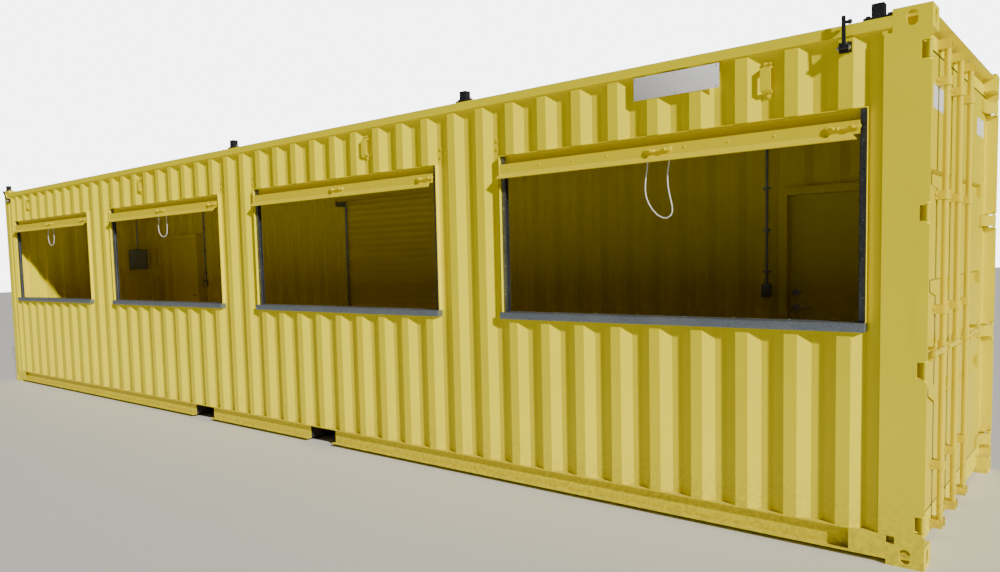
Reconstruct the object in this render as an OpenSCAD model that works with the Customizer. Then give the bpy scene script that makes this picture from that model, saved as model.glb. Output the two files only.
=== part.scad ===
// Shipping container cabin: a 40 ft high-cube steel container fitted out as a
// serving stand, with four shuttered serving windows in its front wall, a
// roll-up door and two service doors in its back wall, and its cargo doors.
// X runs along the container towards the cargo doors, Y runs from the front
// (serving) wall to the back wall, Z is up, and the origin is on the ground
// below the middle.

/* [Container] */
// Length over the corner castings
body_l = 12192; // [12100:1:14700]
// Width over the corner castings
body_w = 2438; // [2030:1:2930]
// Height over the corner castings
body_h = 2896; // [2880:1:3480]

/* [Corner castings] */
// Casting length along the container
casting_l = 178; // [170:1:190]
// Casting width across the container
casting_w = 162; // [155:1:170]
// Casting height
casting_h = 118; // [110:1:142]
// Casting wall
casting_wall = 26; // [20:1:30]
// Length of a slot in a casting's side or end
slot_l = 78; // [60:1:84]
// Width of a slot in a casting's side or end
slot_w = 51; // [40:1:58]
// Length of the slot in a casting's top or bottom
top_slot_l = 124; // [100:1:130]
// Width of the slot in a casting's top or bottom
top_slot_w = 63.5; // [50:0.5:76]

/* [Frame] */
// Corner post size along the container
post_l = 139; // [120:1:150]
// Outer plate of a cargo-door end post along the container, over the wall's edge
post_face_l = 216; // [180:1:240]
// Corner post size across the container, at the cargo-door end
post_w = 49; // [40:1:60]
// Steel plate in posts and rails
plate_t = 6; // [4:0.5:7]
// Side of the square top side rail
rail_s = 60; // [50:1:75]
// Steel in the top side rail
rail_t = 4; // [3:0.5:5]
// Top side rail below the casting tops
rail_drop = 31; // [25:1:37]
// Underside of the bottom side rail above the ground
rail_z = 30; // [20:1:35]
// Height of the bottom side rail
bottom_rail_h = 133; // [120:1:140]
// Depth of the bottom side rail's flanges
flange_w = 48; // [40:1:55]
// Upturned lip of the bottom side rail
lip_h = 14; // [10:1:18]
// Top of the floor deck
deck_z = 180; // [172:1:190]
// Thickness of the plywood floor deck
deck_t = 28; // [21:1:33]
// Spacing of the floor's cross members
member_gap = 305; // [250:1:370]
// Flange width of a cross member
member_w = 45; // [38:1:54]
// Steel in a cross member
member_t = 4; // [3:0.5:6]
// Inside width of a fork pocket
pocket_w = 360; // [300:1:430]
// Half the spacing of the fork pockets
pocket_x = 1012; // [900:1:1150]
// Middle between the two fork pockets, from the middle of the body
pocket_shift = 194; // [0:1:220]

/* [Walls and roof] */
// Steel sheet in the walls and roof
sheet_t = 2; // [1.6:0.2:3]
// Length of one fold of the side walls
fold_l = 278; // [264:1:300]
// Flat of a fold in the side walls
fold_flat = 72; // [60:1:80]
// Slanted web of a fold in the side walls
fold_web = 68; // [60:1:72]
// Depth of the folds in the side walls
fold_d = 36; // [30:1:44]
// Side wall's outer face behind the rail's face
wall_in = 8; // [6:1:10]
// Length of one fold of the end wall
end_fold_l = 250; // [230:1:270]
// Flat of a fold in the end wall
end_flat = 107; // [90:1:112]
// Depth of the folds in the end wall
end_fold_d = 45; // [30:1:50]
// Length of one fold of the roof
roof_fold_l = 209; // [180:1:250]
// Depth of the folds in the roof
roof_fold_d = 20; // [14:1:24]
// Flat strip of the roof sheet beside each top side rail
roof_margin = 150; // [100:1:180]

/* [Serving windows] */
// Width of a serving opening
window_w = 2438; // [2032:1:2440]
// Wall left between two serving openings
pier_w = 620; // [500:1:740]
// Top of the counter in a serving opening
counter_z = 1290; // [1080:1:1450]
// Thickness of the counter
counter_t = 50; // [40:1:60]
// Counter in front of the wall's face
counter_out = 20; // [10:1:30]
// Depth of the counter
counter_d = 130; // [100:1:156]
// Lower edge of the wall over the openings
head_z = 2430; // [2350:1:2450]
// Plate of the frame in a serving opening
jamb_t = 5; // [3:0.5:6]
// Depth of the frame in a serving opening
jamb_d = 66; // [62:1:78]

/* [Shutters] */
// Diameter of a rolled shutter
roll_d = 230; // [190:1:276]
// Thickness of the shutter's curtain
curtain_t = 6; // [3:0.5:8]
// Shutter guide's front behind the wall's outer face
guide_in = 24; // [20:1:30]
// Width of a shutter guide
guide_w = 34; // [26:1:40]
// Depth of a shutter guide
guide_d = 42; // [34:1:50]
// Steel in a shutter guide
guide_t = 3; // [2:0.5:4]
// Height of the flat strip of a shutter's bottom bar
strip_h = 66; // [56:1:76]
// Lower edge of the flat strip, below the head of the opening
strip_drop = 131; // [120:1:150]
// Lip of the bottom bar in front of the wall's face
lip_out = 45; // [35:1:52]
// Drop of the bottom bar's lip
lip_drop = 38; // [30:1:46]
// Steel in the bottom bar
bar_t = 3; // [2:0.5:4]
// Bottom bar short of the opening at its latch end
bar_short = 36; // [25:1:50]
// Thickness of a pull rope
rope_d = 9; // [7:1:11]

/* [Back wall] */
// Width of the roll-up door's opening
roll_door_w = 2438; // [2030:1:2900]
// Middle of the roll-up door, from the middle of the body
roll_door_x = 205; // [-250:1:250]
// Clear width of a service door's opening
service_w = 930; // [800:1:1000]
// Clear height of a service door's opening above the deck
service_h = 1980; // [1800:1:2050]
// Face width of a service door's frame
service_face = 50; // [40:1:60]
// Depth of a service door's frame
service_frame_d = 146; // [122:1:160]
// Thickness of a service door
service_t = 44; // [38:1:50]
// Centre of a service door from the middle of the container
service_x = 5105; // [4900:1:5200]
// Gap round a service door
service_gap = 8; // [6:1:10]

/* [Cargo doors] */
// Cargo doors' outer face behind the castings' end face
door_in = 76; // [72:1:84]
// Thickness of a cargo door
door_t = 50; // [40:1:60]
// Top of the cargo doors' opening
door_top_z = 2757; // [2740:1:2764]
// Gap between a cargo door and its opening
door_gap = 12; // [10:1:15]
// Half the gap between the two cargo doors
meet_gap = 10; // [8:1:12]
// Height of a pressed recess in a cargo door
recess_h = 87; // [70:1:100]
// Spacing of the pressed recesses
recess_gap = 613; // [520:1:640]
// Depth of the pressed recesses
recess_d = 30; // [20:1:36]
// Rubber of a door seal between its door and the opening
seal_free = 5; // [5:1:7]
// Diameter of a lock rod
rod_d = 34; // [28:1:38]
// Lock rod's axis in front of the cargo doors' face
rod_out = 44; // [34:1:46]
// Place of the inner lock rods from the middle
rod_y1 = 183; // [160:1:200]
// Place of the front door's outer lock rod from the middle
rod_y2 = 605; // [560:1:640]
// Length of a lock handle
handle_l = 370; // [320:1:380]
// Height of the lock handles' hubs
handle_z = 1110; // [1080:1:1150]
// Height of a cargo-door hinge blade
blade_h = 80; // [66:1:90]
// Thickness of a hinge blade
blade_t = 14; // [12:1:18]
// Diameter of a hinge pin
pin_d = 14; // [12:1:16]

/* [Fittings] */
// Side of a roof post stub
stub_s = 58; // [50:1:70]
// Height of a roof post stub
stub_h = 66; // [50:1:80]
// Length of a stub's base plate
stub_plate_l = 137; // [110:1:160]
// Height of a grip strap on the wall
grip_h = 208; // [180:1:250]
// Width of a grip strap
grip_w = 60; // [50:1:70]
// Stand-off of a grip strap
grip_out = 45; // [35:1:52]

/* [Hidden] */
$fn = 48;
yellow = [0.93, 0.79, 0.10];
galvanised = [0.70, 0.71, 0.72];
black = [0.07, 0.07, 0.08];
e = 1; // reach of a cut past a face

// main planes
x_end = body_l / 2;
y_side = body_w / 2;
x_post = x_end - post_l;
x_cast = x_end - casting_l;
y_cast = y_side - casting_w;
rail_top = body_h - rail_drop;
rail_under = rail_top - rail_s;
wall_z0 = rail_z + bottom_rail_h;
wall_y = y_side - wall_in;
wall_back_y = wall_y - fold_d - sheet_t;
cast_top_z = body_h - casting_h;
post_z0 = casting_h;
counter_under = counter_z - counter_t;
deck_under = deck_z - deck_t;
blind_y = y_side - post_w - 20;
end_wall_x = -x_end + 12;
deck_x0 = end_wall_x + end_fold_d + sheet_t;
pocket_xs = [pocket_shift - pocket_x, pocket_shift + pocket_x];

// windows
window_n = 4;
window_step = window_w + pier_w;
function window_x(i) = (i - (window_n - 1) / 2) * window_step;

// back wall: openings as [low x, high x, head z]
service_head = deck_z + service_h;
service_out = service_w / 2 + service_face;
back_openings = [
    [-service_x - service_out, -service_x + service_out, service_head + service_face],
    [roll_door_x - roll_door_w / 2, roll_door_x + roll_door_w / 2, head_z],
    [service_x - service_out, service_x + service_out, service_head + service_face]
];
frame_y1 = y_side + 2;
frame_y0 = frame_y1 - service_frame_d;
service_stop = 16;
service_y0 = frame_y1 - service_t - 5;
service_y1 = service_y0 + service_t;
butt_r = 8;
butt_pin_d = 8;
butt_h = 100;
butt_y = frame_y1 + butt_r + 1;
butt_zs = [0.12, 0.5, 0.88];

// cargo doors
door_face = x_end - door_in;
door_back = door_face - door_t;
opening_y = y_side - post_w;
leaf_y = opening_y - door_gap;
leaf_z0 = deck_z + door_gap;
leaf_z1 = door_top_z - door_gap;
pin_x = x_end - 14;
pin_y = y_side - 14;
lug_t = 12;
hinge_slot = blade_h + 2 * lug_t + 10;
hinge_zs = [for (f = [0.0225, 0.3378, 0.6520, 0.9670]) deck_z + f * (door_top_z - deck_z)];
frame_bar = 100;
side_bar = 80;
panel_t = 3;
recess_zs = [for (k = [0:2]) leaf_z0 + 655 + k * recess_gap];
rod_x = door_face + rod_out;
rod_z0 = 62;
rod_z1 = door_top_z + 70;
rod_play = 0.5;
cam_r = 28;
cam_h = 36;
cam_zs = [rod_z0 + 8, rod_z1 - 8 - cam_h];
cheek_t = 8;
cheek_gap = 6;
guide_zs = [430, 1330, 1975, 2605];
guide_h = 50;
guide_wall = 8;
handle_t = 10;
handle_h = 30;

// ropes: the loops hang in the openings, points as [x, y, z]
rope_y = -1190;
rope_1 = short_loop(-4560);
rope_2 = short_loop(-1490);
rope_4 = long_loop(4616);
function loop(x, shape) = [for (p = shape) [x + p[0], rope_y, p[1]]];
function short_loop(x) = loop(x, [
    [-71, 2296], [-71, 2275], [-88, 2215], [-97, 2170], [-98, 2130], [-86, 2090], [-60, 2057],
    [-24, 2036], [16, 2030], [52, 2039], [80, 2062], [94, 2098], [97, 2140], [95, 2185],
    [92, 2230], [90, 2272], [90, 2296]]);
function long_loop(x) = loop(x, [
    [-73, 2296], [-73, 2270], [-76, 2235], [-84, 2188], [-91, 2142], [-93, 2095], [-86, 2050], [-69, 2006],
    [-42, 1965], [-10, 1932], [27, 1912], [56, 1911], [78, 1924], [90, 1948], [89, 1978],
    [80, 2020], [70, 2062], [62, 2107], [59, 2152], [62, 2200], [69, 2240], [74, 2272], [74, 2296]]);

// fittings
stub_xs = [-5990, 0, 3051, 5849];
stub_plate_t = 10;
roof_rise = sheet_t;
arm_xs = [-5918, 5697];
arm_leans = [20, 3];
grip_folds = [-19, -7, 7, 19];
panel_y = [656, 942];
panel_z = [1657, 1989];
panel_d = 110;
conduit_xs = [-4480, 4460];
conduit_d = 22;
conduit_box = [70, 45, 115];
conduit_box_z = [1403, 1341];

// ---- helpers ----

module block(a, b) translate(a) cube([b[0] - a[0], b[1] - a[1], b[2] - a[2]]);

module both_sides() {
    children();
    mirror([0, 1, 0]) children();
}

module both_ends() {
    children();
    mirror([1, 0, 0]) children();
}

// Depth of the side wall's folds along x as [x, depth] pairs, from the middle
// out to x_post: an inner flat lies at the middle, and a narrow fold ends it.
fold_in = fold_l - fold_flat - 2 * fold_web;
fold_n = floor((x_post - fold_in / 2 - 20) / fold_l);
half_folds = concat(
    [for (k = [0:fold_n - 1], p = [
            [fold_in / 2, 1],
            [fold_in / 2 + fold_web, 0],
            [fold_in / 2 + fold_web + fold_flat, 0],
            [fold_in / 2 + 2 * fold_web + fold_flat, 1]])
        [k * fold_l + p[0], p[1]]],
    [[(fold_n - 1) * fold_l + fold_in / 2 + 3 * fold_web + fold_flat, 0], [x_end, 0]]
);
half_n = len(half_folds);
wall_folds = concat(
    [for (i = [half_n - 1:-1:0]) [-half_folds[i][0], half_folds[i][1]]],
    half_folds
);

// Regular folds of a given length across a width, as [place, depth] pairs.
function even_folds(width, step, flat) = [
    for (k = [-ceil(width / step):ceil(width / step)], p = [
            [-step / 2 + flat / 2, 1], [-flat / 2, 0], [flat / 2, 0], [step / 2 - flat / 2, 1]])
        [k * step + p[0], p[1]]
];

// Outline of a folded sheet from a to b: folds go from depth 0 to d.
module fold_outline(folds, a, b, d, t) {
    inside = [for (p = folds) if (p[0] > a + 0.01 && p[0] < b - 0.01) p];
    line = concat([[a, lookup(a, folds)]], inside, [[b, lookup(b, folds)]]);
    n = len(line);
    polygon(concat(
        [for (p = line) [p[0], p[1] * d]],
        [for (i = [n - 1:-1:0]) [line[i][0], line[i][1] * d + t]]
    ));
}

// Piece of the front wall's folded sheet, notched round the upper castings.
module front_sheet(x0, x1, z0, z1)
    difference() {
        translate([0, -wall_y, z0])
            linear_extrude(height = z1 - z0)
                fold_outline(wall_folds, x0, x1, fold_d, sheet_t);
        if (z1 > cast_top_z && x0 < -x_cast)
            block([-x_end, -y_side - e, cast_top_z], [-x_cast, -y_cast, body_h]);
        if (z1 > cast_top_z && x1 > x_cast)
            block([x_cast, -y_side - e, cast_top_z], [x_end, -y_cast, body_h]);
    }

module back_sheet(x0, x1, z0, z1)
    mirror([0, 1, 0]) front_sheet(x0, x1, z0, z1);

// Upright slot of length l and width w through a plate, along X.
module slot_x(l, w, depth)
    rotate([0, 90, 0])
        linear_extrude(height = depth)
            union() {
                translate([-(l - w) / 2, 0]) circle(d = w);
                translate([(l - w) / 2, 0]) circle(d = w);
                square([l - w, w], center = true);
            }

// Tube swept along points: rings of `sides` corners, one at each point.
function unit(v) = v / norm(v);
function tangent(p, i) = unit(p[min(i + 1, len(p) - 1)] - p[max(i - 1, 0)]);
function ring(p, i, r, sides) =
    let (t = tangent(p, i), n = [0, 1, 0], b = cross(t, n))
    [for (k = [0:sides - 1]) p[i] + r * (cos(360 * k / sides) * n + sin(360 * k / sides) * b)];

module swept_tube(p, d, sides) {
    m = len(p);
    points = [for (i = [0:m - 1]) each ring(p, i, d / 2, sides)];
    sides_faces = [for (i = [0:m - 2], k = [0:sides - 1]) each [
            [i * sides + k, (i + 1) * sides + k, i * sides + (k + 1) % sides],
            [(i + 1) * sides + k, (i + 1) * sides + (k + 1) % sides, i * sides + (k + 1) % sides]]];
    ends = [
        [for (k = [0:sides - 1]) k],
        [for (k = [sides - 1:-1:0]) (m - 1) * sides + k]
    ];
    polyhedron(points = points, faces = concat(sides_faces, ends));
}

// ---- steel frame ----

// One lower casting at the +X, +Y corner: hollow, with a slot in its end, its
// side and its underside.
module casting() {
    inner_x = x_cast + casting_wall;
    inner_y = y_cast + casting_wall;
    mid_x = (x_cast + x_end) / 2;
    mid_y = (y_cast + y_side) / 2;
    difference() {
        block([x_cast, y_cast, 0], [x_end, y_side, casting_h]);
        block([inner_x, inner_y, casting_wall],
            [x_end - casting_wall, y_side - casting_wall, casting_h - casting_wall]);
        translate([x_end - casting_wall - e, mid_y, casting_h / 2])
            slot_x(slot_l, slot_w, casting_wall + 2 * e);
        translate([mid_x, y_side + e, casting_h / 2])
            rotate([0, 0, -90]) slot_x(slot_l, slot_w, casting_wall + 2 * e);
        translate([mid_x, mid_y, casting_wall + e])
            rotate([0, 90, 0]) slot_x(top_slot_l, top_slot_w, casting_wall + 2 * e);
    }
}

module lower_castings() color(yellow)
    both_ends() both_sides() casting();

module upper_castings() color(yellow)
    translate([0, 0, body_h]) mirror([0, 0, 1]) both_ends() both_sides() casting();

// Cargo-door end post at the +Y corner: an angle of plate and a channel, with
// the hinge lugs and pins, cut out so that the hinge blades can pass.
module door_post() {
    reach = 46;
    difference() {
        union() {
            block([x_post, y_side - plate_t, post_z0], [x_end, y_side, cast_top_z]);
            block([x_end - post_face_l, y_side - plate_t, wall_z0], [x_post + e, y_side, cast_top_z]);
            block([x_post, opening_y, post_z0], [x_post + plate_t, y_side - plate_t, cast_top_z]);
            block([x_post, opening_y, post_z0], [door_face, opening_y + plate_t, cast_top_z]);
            block([door_face - plate_t, opening_y + plate_t, post_z0],
                [door_face, y_side - plate_t, cast_top_z]);
        }
        for (z = hinge_zs)
            block([x_end - reach, y_side - plate_t - e, z - hinge_slot / 2],
                [x_end + e, y_side + e, z + hinge_slot / 2]);
    }
    for (z = hinge_zs) {
        for (s = [-1, 1]) {
            low = z + s * (blade_h / 2 + 5) + (s < 0 ? -lug_t : 0);
            translate([0, 0, low]) linear_extrude(height = lug_t) {
                polygon([[door_face, y_side - plate_t - 22], [pin_x, pin_y - 14],
                    [pin_x, y_side], [x_end - reach, y_side], [door_face, y_side - plate_t]]);
                translate([pin_x, pin_y]) circle(r = 14);
            }
        }
        translate([pin_x, pin_y, z - hinge_slot / 2])
            cylinder(d = pin_d, h = hinge_slot);
    }
}

module door_end_posts() color(yellow)
    both_sides() door_post();

module blind_end_posts() color(yellow)
    both_sides()
        difference() {
            block([-x_end, blind_y, post_z0], [-x_post, y_side, cast_top_z]);
            block([-x_end + plate_t, blind_y + plate_t, post_z0 - e],
                [-x_post - plate_t, y_side - plate_t, cast_top_z + e]);
        }

// Bottom side rail at +Y: an outward channel with an upturned lip, closed by a
// plate beside each casting, and open at the fork pockets.
module bottom_rail() {
    web_y = y_side - flange_w;
    t = 4.5;
    both_ends()
        block([x_cast - 184, y_side - t, rail_z + lip_h - e], [x_cast, y_side, wall_z0 - t + e]);
    difference() {
        rotate([90, 0, 90]) translate([0, 0, -x_post])
            linear_extrude(height = 2 * x_post)
                polygon([[web_y, rail_z], [y_side, rail_z], [y_side, rail_z + lip_h],
                    [y_side - t, rail_z + lip_h], [y_side - t, rail_z + t], [web_y + t, rail_z + t],
                    [web_y + t, wall_z0 - t], [y_side, wall_z0 - t], [y_side, wall_z0], [web_y, wall_z0]]);
        for (x = pocket_xs)
            block([x - pocket_w / 2, web_y - e, rail_z - e], [x + pocket_w / 2, y_side + e, wall_z0 - t]);
        both_ends()
            block([x_cast, web_y - e, rail_z - e], [x_post + e, y_side + e, casting_h]);
    }
}

module bottom_rails() color(yellow)
    both_sides() bottom_rail();

module top_rails() color(yellow)
    both_sides()
        difference() {
            block([-x_cast, y_side - rail_s, rail_under], [x_cast, y_side, rail_top]);
            block([-x_cast - e, y_side - rail_s + rail_t, rail_under + rail_t],
                [x_cast + e, y_side - rail_t, rail_top - rail_t]);
        }

module door_sill() color(yellow) {
    block([x_post, -y_cast, rail_z], [door_face, y_cast, deck_z]);
    block([x_post, -opening_y, casting_h], [door_face, -y_cast, deck_z]);
    block([x_post, y_cast, casting_h], [door_face, opening_y, deck_z]);
}

module door_header() color(yellow) {
    block([x_post, -y_cast, door_top_z], [door_face, y_cast, rail_top]);
    block([x_post, -opening_y, door_top_z], [door_face, -y_cast, cast_top_z]);
    block([x_post, y_cast, door_top_z], [door_face, opening_y, cast_top_z]);
    block([x_cast, -y_cast, rail_top], [x_end - 8, y_cast, rail_top + 5]);
}

module blind_end_beams() color(yellow) {
    block([-x_end + 10, -y_cast, rail_z], [-x_post, y_cast, deck_under]);
    block([-x_end + 10, -blind_y, casting_h], [deck_x0, blind_y, wall_z0]);
    block([-x_end + 10, -y_cast, cast_top_z], [-x_cast, y_cast, rail_top]);
    block([-x_end + 8, -y_cast, rail_top], [-x_cast, y_cast, rail_top + 5]);
}

// Cross members: channels across the bottom, left out at the fork pockets.
module cross_members() color("dimgray") {
    reach = y_side - flange_w;
    top = deck_under;
    n = floor((x_post - member_gap / 2) / member_gap);
    for (i = [-n:n]) {
        x = i * member_gap;
        clear = min([for (p = pocket_xs) abs(x - p)]) > pocket_w / 2 + plate_t + member_w;
        if (clear)
            translate([x, 0, 0]) rotate([90, 0, 0]) translate([0, 0, -reach])
                linear_extrude(height = 2 * reach)
                    polygon([[0, rail_z + 4], [member_w, rail_z + 4], [member_w, rail_z + 4 + member_t],
                        [member_t, rail_z + 4 + member_t], [member_t, top - member_t],
                        [member_w, top - member_t], [member_w, top], [0, top]]);
    }
}

module fork_pockets() color(yellow) {
    reach = y_side - flange_w;
    low = rail_z + 4.5;
    top = deck_under;
    for (x = pocket_xs)
        difference() {
            block([x - pocket_w / 2 - plate_t, -reach, low], [x + pocket_w / 2 + plate_t, reach, top]);
            block([x - pocket_w / 2, -reach - e, low - e], [x + pocket_w / 2, reach + e, top - plate_t]);
        }
}

module floor_deck() color("sienna") {
    block([-x_post, -y_side + flange_w, deck_under], [x_post, y_side - flange_w, deck_z]);
    block([deck_x0, -blind_y, deck_under], [-x_post + e, blind_y, deck_z]);
}

// Roof: a flat sheet with hollow crests pressed up across it, which stop short
// of the side rails.
module roof_sheet() color(yellow) {
    edge = y_side - rail_s / 2;
    crest = edge - roof_margin;
    n = floor((x_cast - 20) / roof_fold_l);
    starts = [for (k = [-n:n - 1]) k * roof_fold_l + 45];
    low = rail_top + sheet_t;
    top = rail_top + roof_fold_d;
    difference() {
        union() {
            block([-x_cast, -edge, rail_top], [x_cast, edge, low]);
            for (x = starts)
                translate([x, crest, 0]) rotate([90, 0, 0]) linear_extrude(height = 2 * crest)
                    polygon([[0, rail_top], [0, low], [14, top + sheet_t], [105, top + sheet_t],
                        [119, low], [119, rail_top]]);
        }
        for (x = starts)
            translate([x, crest - sheet_t, 0]) rotate([90, 0, 0])
                linear_extrude(height = 2 * (crest - sheet_t))
                    polygon([[0, rail_top - e], [0, rail_top], [14, top], [105, top],
                        [119, rail_top], [119, rail_top - e]]);
    }
}

// ---- walls ----

module front_wall_lower() color(yellow)
    front_sheet(-x_post, x_post, wall_z0, counter_under);

module front_wall_upper() color(yellow)
    front_sheet(-x_post, x_post, head_z, rail_under);

// Edges of the piers between the serving openings, from left to right.
pier_edges = concat(
    [[-x_post, window_x(0) - window_w / 2]],
    [for (i = [0:window_n - 2]) [window_x(i) + window_w / 2, window_x(i + 1) - window_w / 2]],
    [[window_x(window_n - 1) + window_w / 2, x_post]]
);

module front_wall_piers() color(yellow)
    for (p = pier_edges) front_sheet(p[0], p[1], counter_under, head_z);

module back_wall_sheets() color(yellow) {
    o = back_openings;
    back_sheet(-x_post, o[0][0], wall_z0, rail_under);
    back_sheet(o[0][1], o[1][0], wall_z0, rail_under);
    back_sheet(o[1][1], o[2][0], wall_z0, rail_under);
    back_sheet(o[2][1], x_post, wall_z0, rail_under);
}

module back_wall_over_doors() color(yellow)
    for (o = back_openings) {
        back_sheet(o[0], o[1], o[2], rail_under);
        back_sheet(o[0], o[1], wall_z0, deck_z);
    }

module blind_end_wall() color(yellow) {
    folds = even_folds(2 * blind_y, end_fold_l, end_flat);
    translate([end_wall_x, 0, wall_z0]) rotate([0, 0, 90]) mirror([0, 1, 0])
        linear_extrude(height = cast_top_z - wall_z0)
            fold_outline(folds, -blind_y, blind_y, end_fold_d, sheet_t);
}

// ---- serving windows ----

// Frame in one opening: two jambs, and an angle under the head.
module window_frame() {
    y0 = -wall_y;
    for (s = [-1, 1]) {
        a = s * window_w / 2;
        b = a - s * jamb_t;
        block([min(a, b), y0, counter_z], [max(a, b), y0 + jamb_d, head_z - jamb_t]);
    }
    block([-window_w / 2, y0 + 4, head_z - jamb_t], [window_w / 2, curtain_y - 6, head_z]);
}

module window_frames() color(yellow)
    for (i = [0:window_n - 1]) translate([window_x(i), 0, 0]) window_frame();

module counters() color(galvanised)
    for (i = [0:window_n - 1]) translate([window_x(i), 0, 0])
        block([-window_w / 2, -wall_y - counter_out, counter_under],
            [window_w / 2, -wall_y - counter_out + counter_d, counter_z]);

guide_y = -wall_y + guide_in;
curtain_y = guide_y + guide_d / 2;

// Guides of one shutter: two channels that face each other, with an end plate
// over each one that carries the roll's axle.
module guide_pair(width, z0, z1) {
    half = width / 2;
    both_ends() {
        difference() {
            block([half - guide_w, guide_y, z0], [half, guide_y + guide_d, z1]);
            block([half - guide_w - e, guide_y + guide_t, z0 - e],
                [half - guide_t, guide_y + guide_d - guide_t, z1 + e]);
        }
        block([half - guide_t, curtain_y, z1 - 20], [half, roll_y + end_plate_r, roll_z + end_plate_r]);
    }
}

module shutter_guides() color(galvanised)
    for (i = [0:window_n - 1]) translate([window_x(i), 0, 0])
        guide_pair(window_w - 2 * jamb_t, counter_z, head_z - jamb_t);

strip_z = head_z - strip_drop;
roll_y = -wall_y + fold_d + sheet_t + 12 + roll_d / 2;
roll_z = head_z + 30 + roll_d / 2;
axle_d = 42;
end_plate_r = 60;

// Rolled shutter between end plates at -reach and reach: the roll inside the
// wall, its axle, and the curtain down to z_end.
module rolled_curtain(reach, z_end) {
    half = reach - 4;
    translate([-reach, roll_y, roll_z]) rotate([0, 90, 0]) cylinder(d = axle_d, h = 2 * reach);
    rotate([90, 0, 90]) translate([0, 0, -half])
        linear_extrude(height = 2 * half)
            union() {
                translate([roll_y, roll_z]) circle(d = roll_d);
                polygon([[curtain_y, z_end], [curtain_y + curtain_t, z_end],
                    [curtain_y + curtain_t, head_z - 40], [roll_y - roll_d / 2 + 14, roll_z - 30],
                    [roll_y - roll_d / 2 + 14, roll_z], [roll_y - roll_d / 2, roll_z],
                    [curtain_y, head_z - 40]]);
            }
}

module shutter_curtains() color(yellow)
    for (i = [0:window_n - 1]) translate([window_x(i), 0, 0]) 
        rolled_curtain(window_w / 2 - jamb_t - guide_t, strip_z);

// Bottom bar: a flat strip in front of the curtain, a web under the curtain
// between the guides, and a lip that leans out.
module bottom_bar() {
    x0 = -window_w / 2 + jamb_t + 3;
    x1 = window_w / 2 - bar_short;
    front = -wall_y + 5;
    tip = -wall_y - lip_out;
    web = window_w / 2 - jamb_t - guide_w - 6;
    block([-web, front + 1, strip_z - bar_t], [web, curtain_y + curtain_t, strip_z]);
    difference() {
        rotate([90, 0, 90]) translate([0, 0, x0])
            linear_extrude(height = x1 - x0)
                polygon([[front, strip_z + strip_h], [front, strip_z], [tip, strip_z - lip_drop],
                    [tip + 2, strip_z - lip_drop - bar_t], [front + bar_t, strip_z - bar_t],
                    [front + bar_t, strip_z + strip_h]]);
        // slanted cut at the latch end
        translate([x1, tip - e, strip_z - lip_drop - bar_t - e]) rotate([0, -45, 0])
            cube([60, lip_out + 6, 60]);
    }
}

module shutter_bottom_bars() color(yellow)
    for (i = [0:window_n - 1]) translate([window_x(i), 0, 0]) bottom_bar();

latch_xs = [36, window_w / 2 - 34 - 85];

// Slide-bolt latch: two round bosses and a bolt between them.
module latch() {
    z = strip_z + strip_h / 2;
    y = -wall_y + 5;
    for (s = [-1, 1])
        translate([s * 75, y - 10, z]) rotate([-90, 0, 0]) cylinder(r = 15, h = 10);
    translate([-75, y - 14, z - 7]) cube([150, 10, 14]);
}

module shutter_latches() color(galvanised)
    for (i = [0:window_n - 1], x = latch_xs) translate([window_x(i) + x, 0, 0]) latch();

module pull_rope_1() color("white") swept_tube(rope_1, rope_d, 8);
module pull_rope_2() color("white") swept_tube(rope_2, rope_d, 8);
module pull_rope_4() color("white") swept_tube(rope_4, rope_d, 8);

// ---- fittings on the front ----

// Square stub on a base plate. On the rail a packer carries the plate level
// with the roof's flat edge; over a casting the plate lies on the casting.
module roof_post_stubs() color(black)
    for (x = stub_xs) translate([x, -y_side + rail_s / 2, abs(x) > x_cast ? body_h : rail_top + roof_rise]) {
        translate([-stub_plate_l / 2, -rail_s / 2, 0]) cube([stub_plate_l, rail_s, stub_plate_t]);
        if (abs(x) < x_cast)
            block([-stub_plate_l / 2, -rail_s / 2, -roof_rise], [stub_plate_l / 2, -2, 1]);
        difference() {
            translate([-stub_s / 2, -stub_s / 2, stub_plate_t]) cube([stub_s, stub_s, stub_h]);
            translate([-stub_s / 2 + 4, -stub_s / 2 + 4, stub_plate_t + 1])
                cube([stub_s - 8, stub_s - 8, stub_h]);
        }
    }

module arm_bracket(lean) {
    z0 = rail_under - 85;
    y = -wall_y;
    block([-31, y - 6, z0], [31, y, cast_top_z - 3]);
    for (x = [-24, 18]) block([x, y - 34, z0 + 6], [x + 6, y - 6, cast_top_z - 6]);
    translate([0, y - 34, z0 + 20]) rotate([lean, 0, 0]) {
        translate([-9, -6, -10]) cube([18, 12, 175]);
        translate([-9, 0, 130]) rotate([0, 90, 0]) cylinder(r = 9, h = 34);
    }
    translate([-24, y - 34, z0 + 20]) rotate([0, 90, 0]) cylinder(r = 8, h = 48);
}

module arm_brackets() color(black)
    for (i = [0, 1]) translate([arm_xs[i], 0, 0]) arm_bracket(arm_leans[i]);

// Hat-shaped grip strap on the wall.
module wall_grip() {
    z1 = rail_under - 47;
    z0 = z1 - grip_h;
    y = -wall_y + fold_d;
    t = 5;
    rotate([90, 0, 90]) translate([0, 0, -grip_w / 2])
        linear_extrude(height = grip_w)
            polygon([[y, z0], [y - t, z0], [y - t, z0 + 30], [y - grip_out, z0 + 42], [y - grip_out, z1 - 42],
                [y - t, z1 - 30], [y - t, z1], [y, z1], [y, z1 - 30 - t], [y - grip_out + t, z1 - 42 - t],
                [y - grip_out + t, z0 + 42 + t], [y, z0 + 30 + t]]);
}

module wall_grips() color(yellow)
    for (k = grip_folds) translate([k * fold_l, 0, 0]) wall_grip();

// ---- back wall ----

module back_shutter() color(yellow)
    translate([roll_door_x, 0, 0]) mirror([0, 1, 0]) rolled_curtain(roll_door_w / 2 - guide_t, deck_z);

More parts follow.
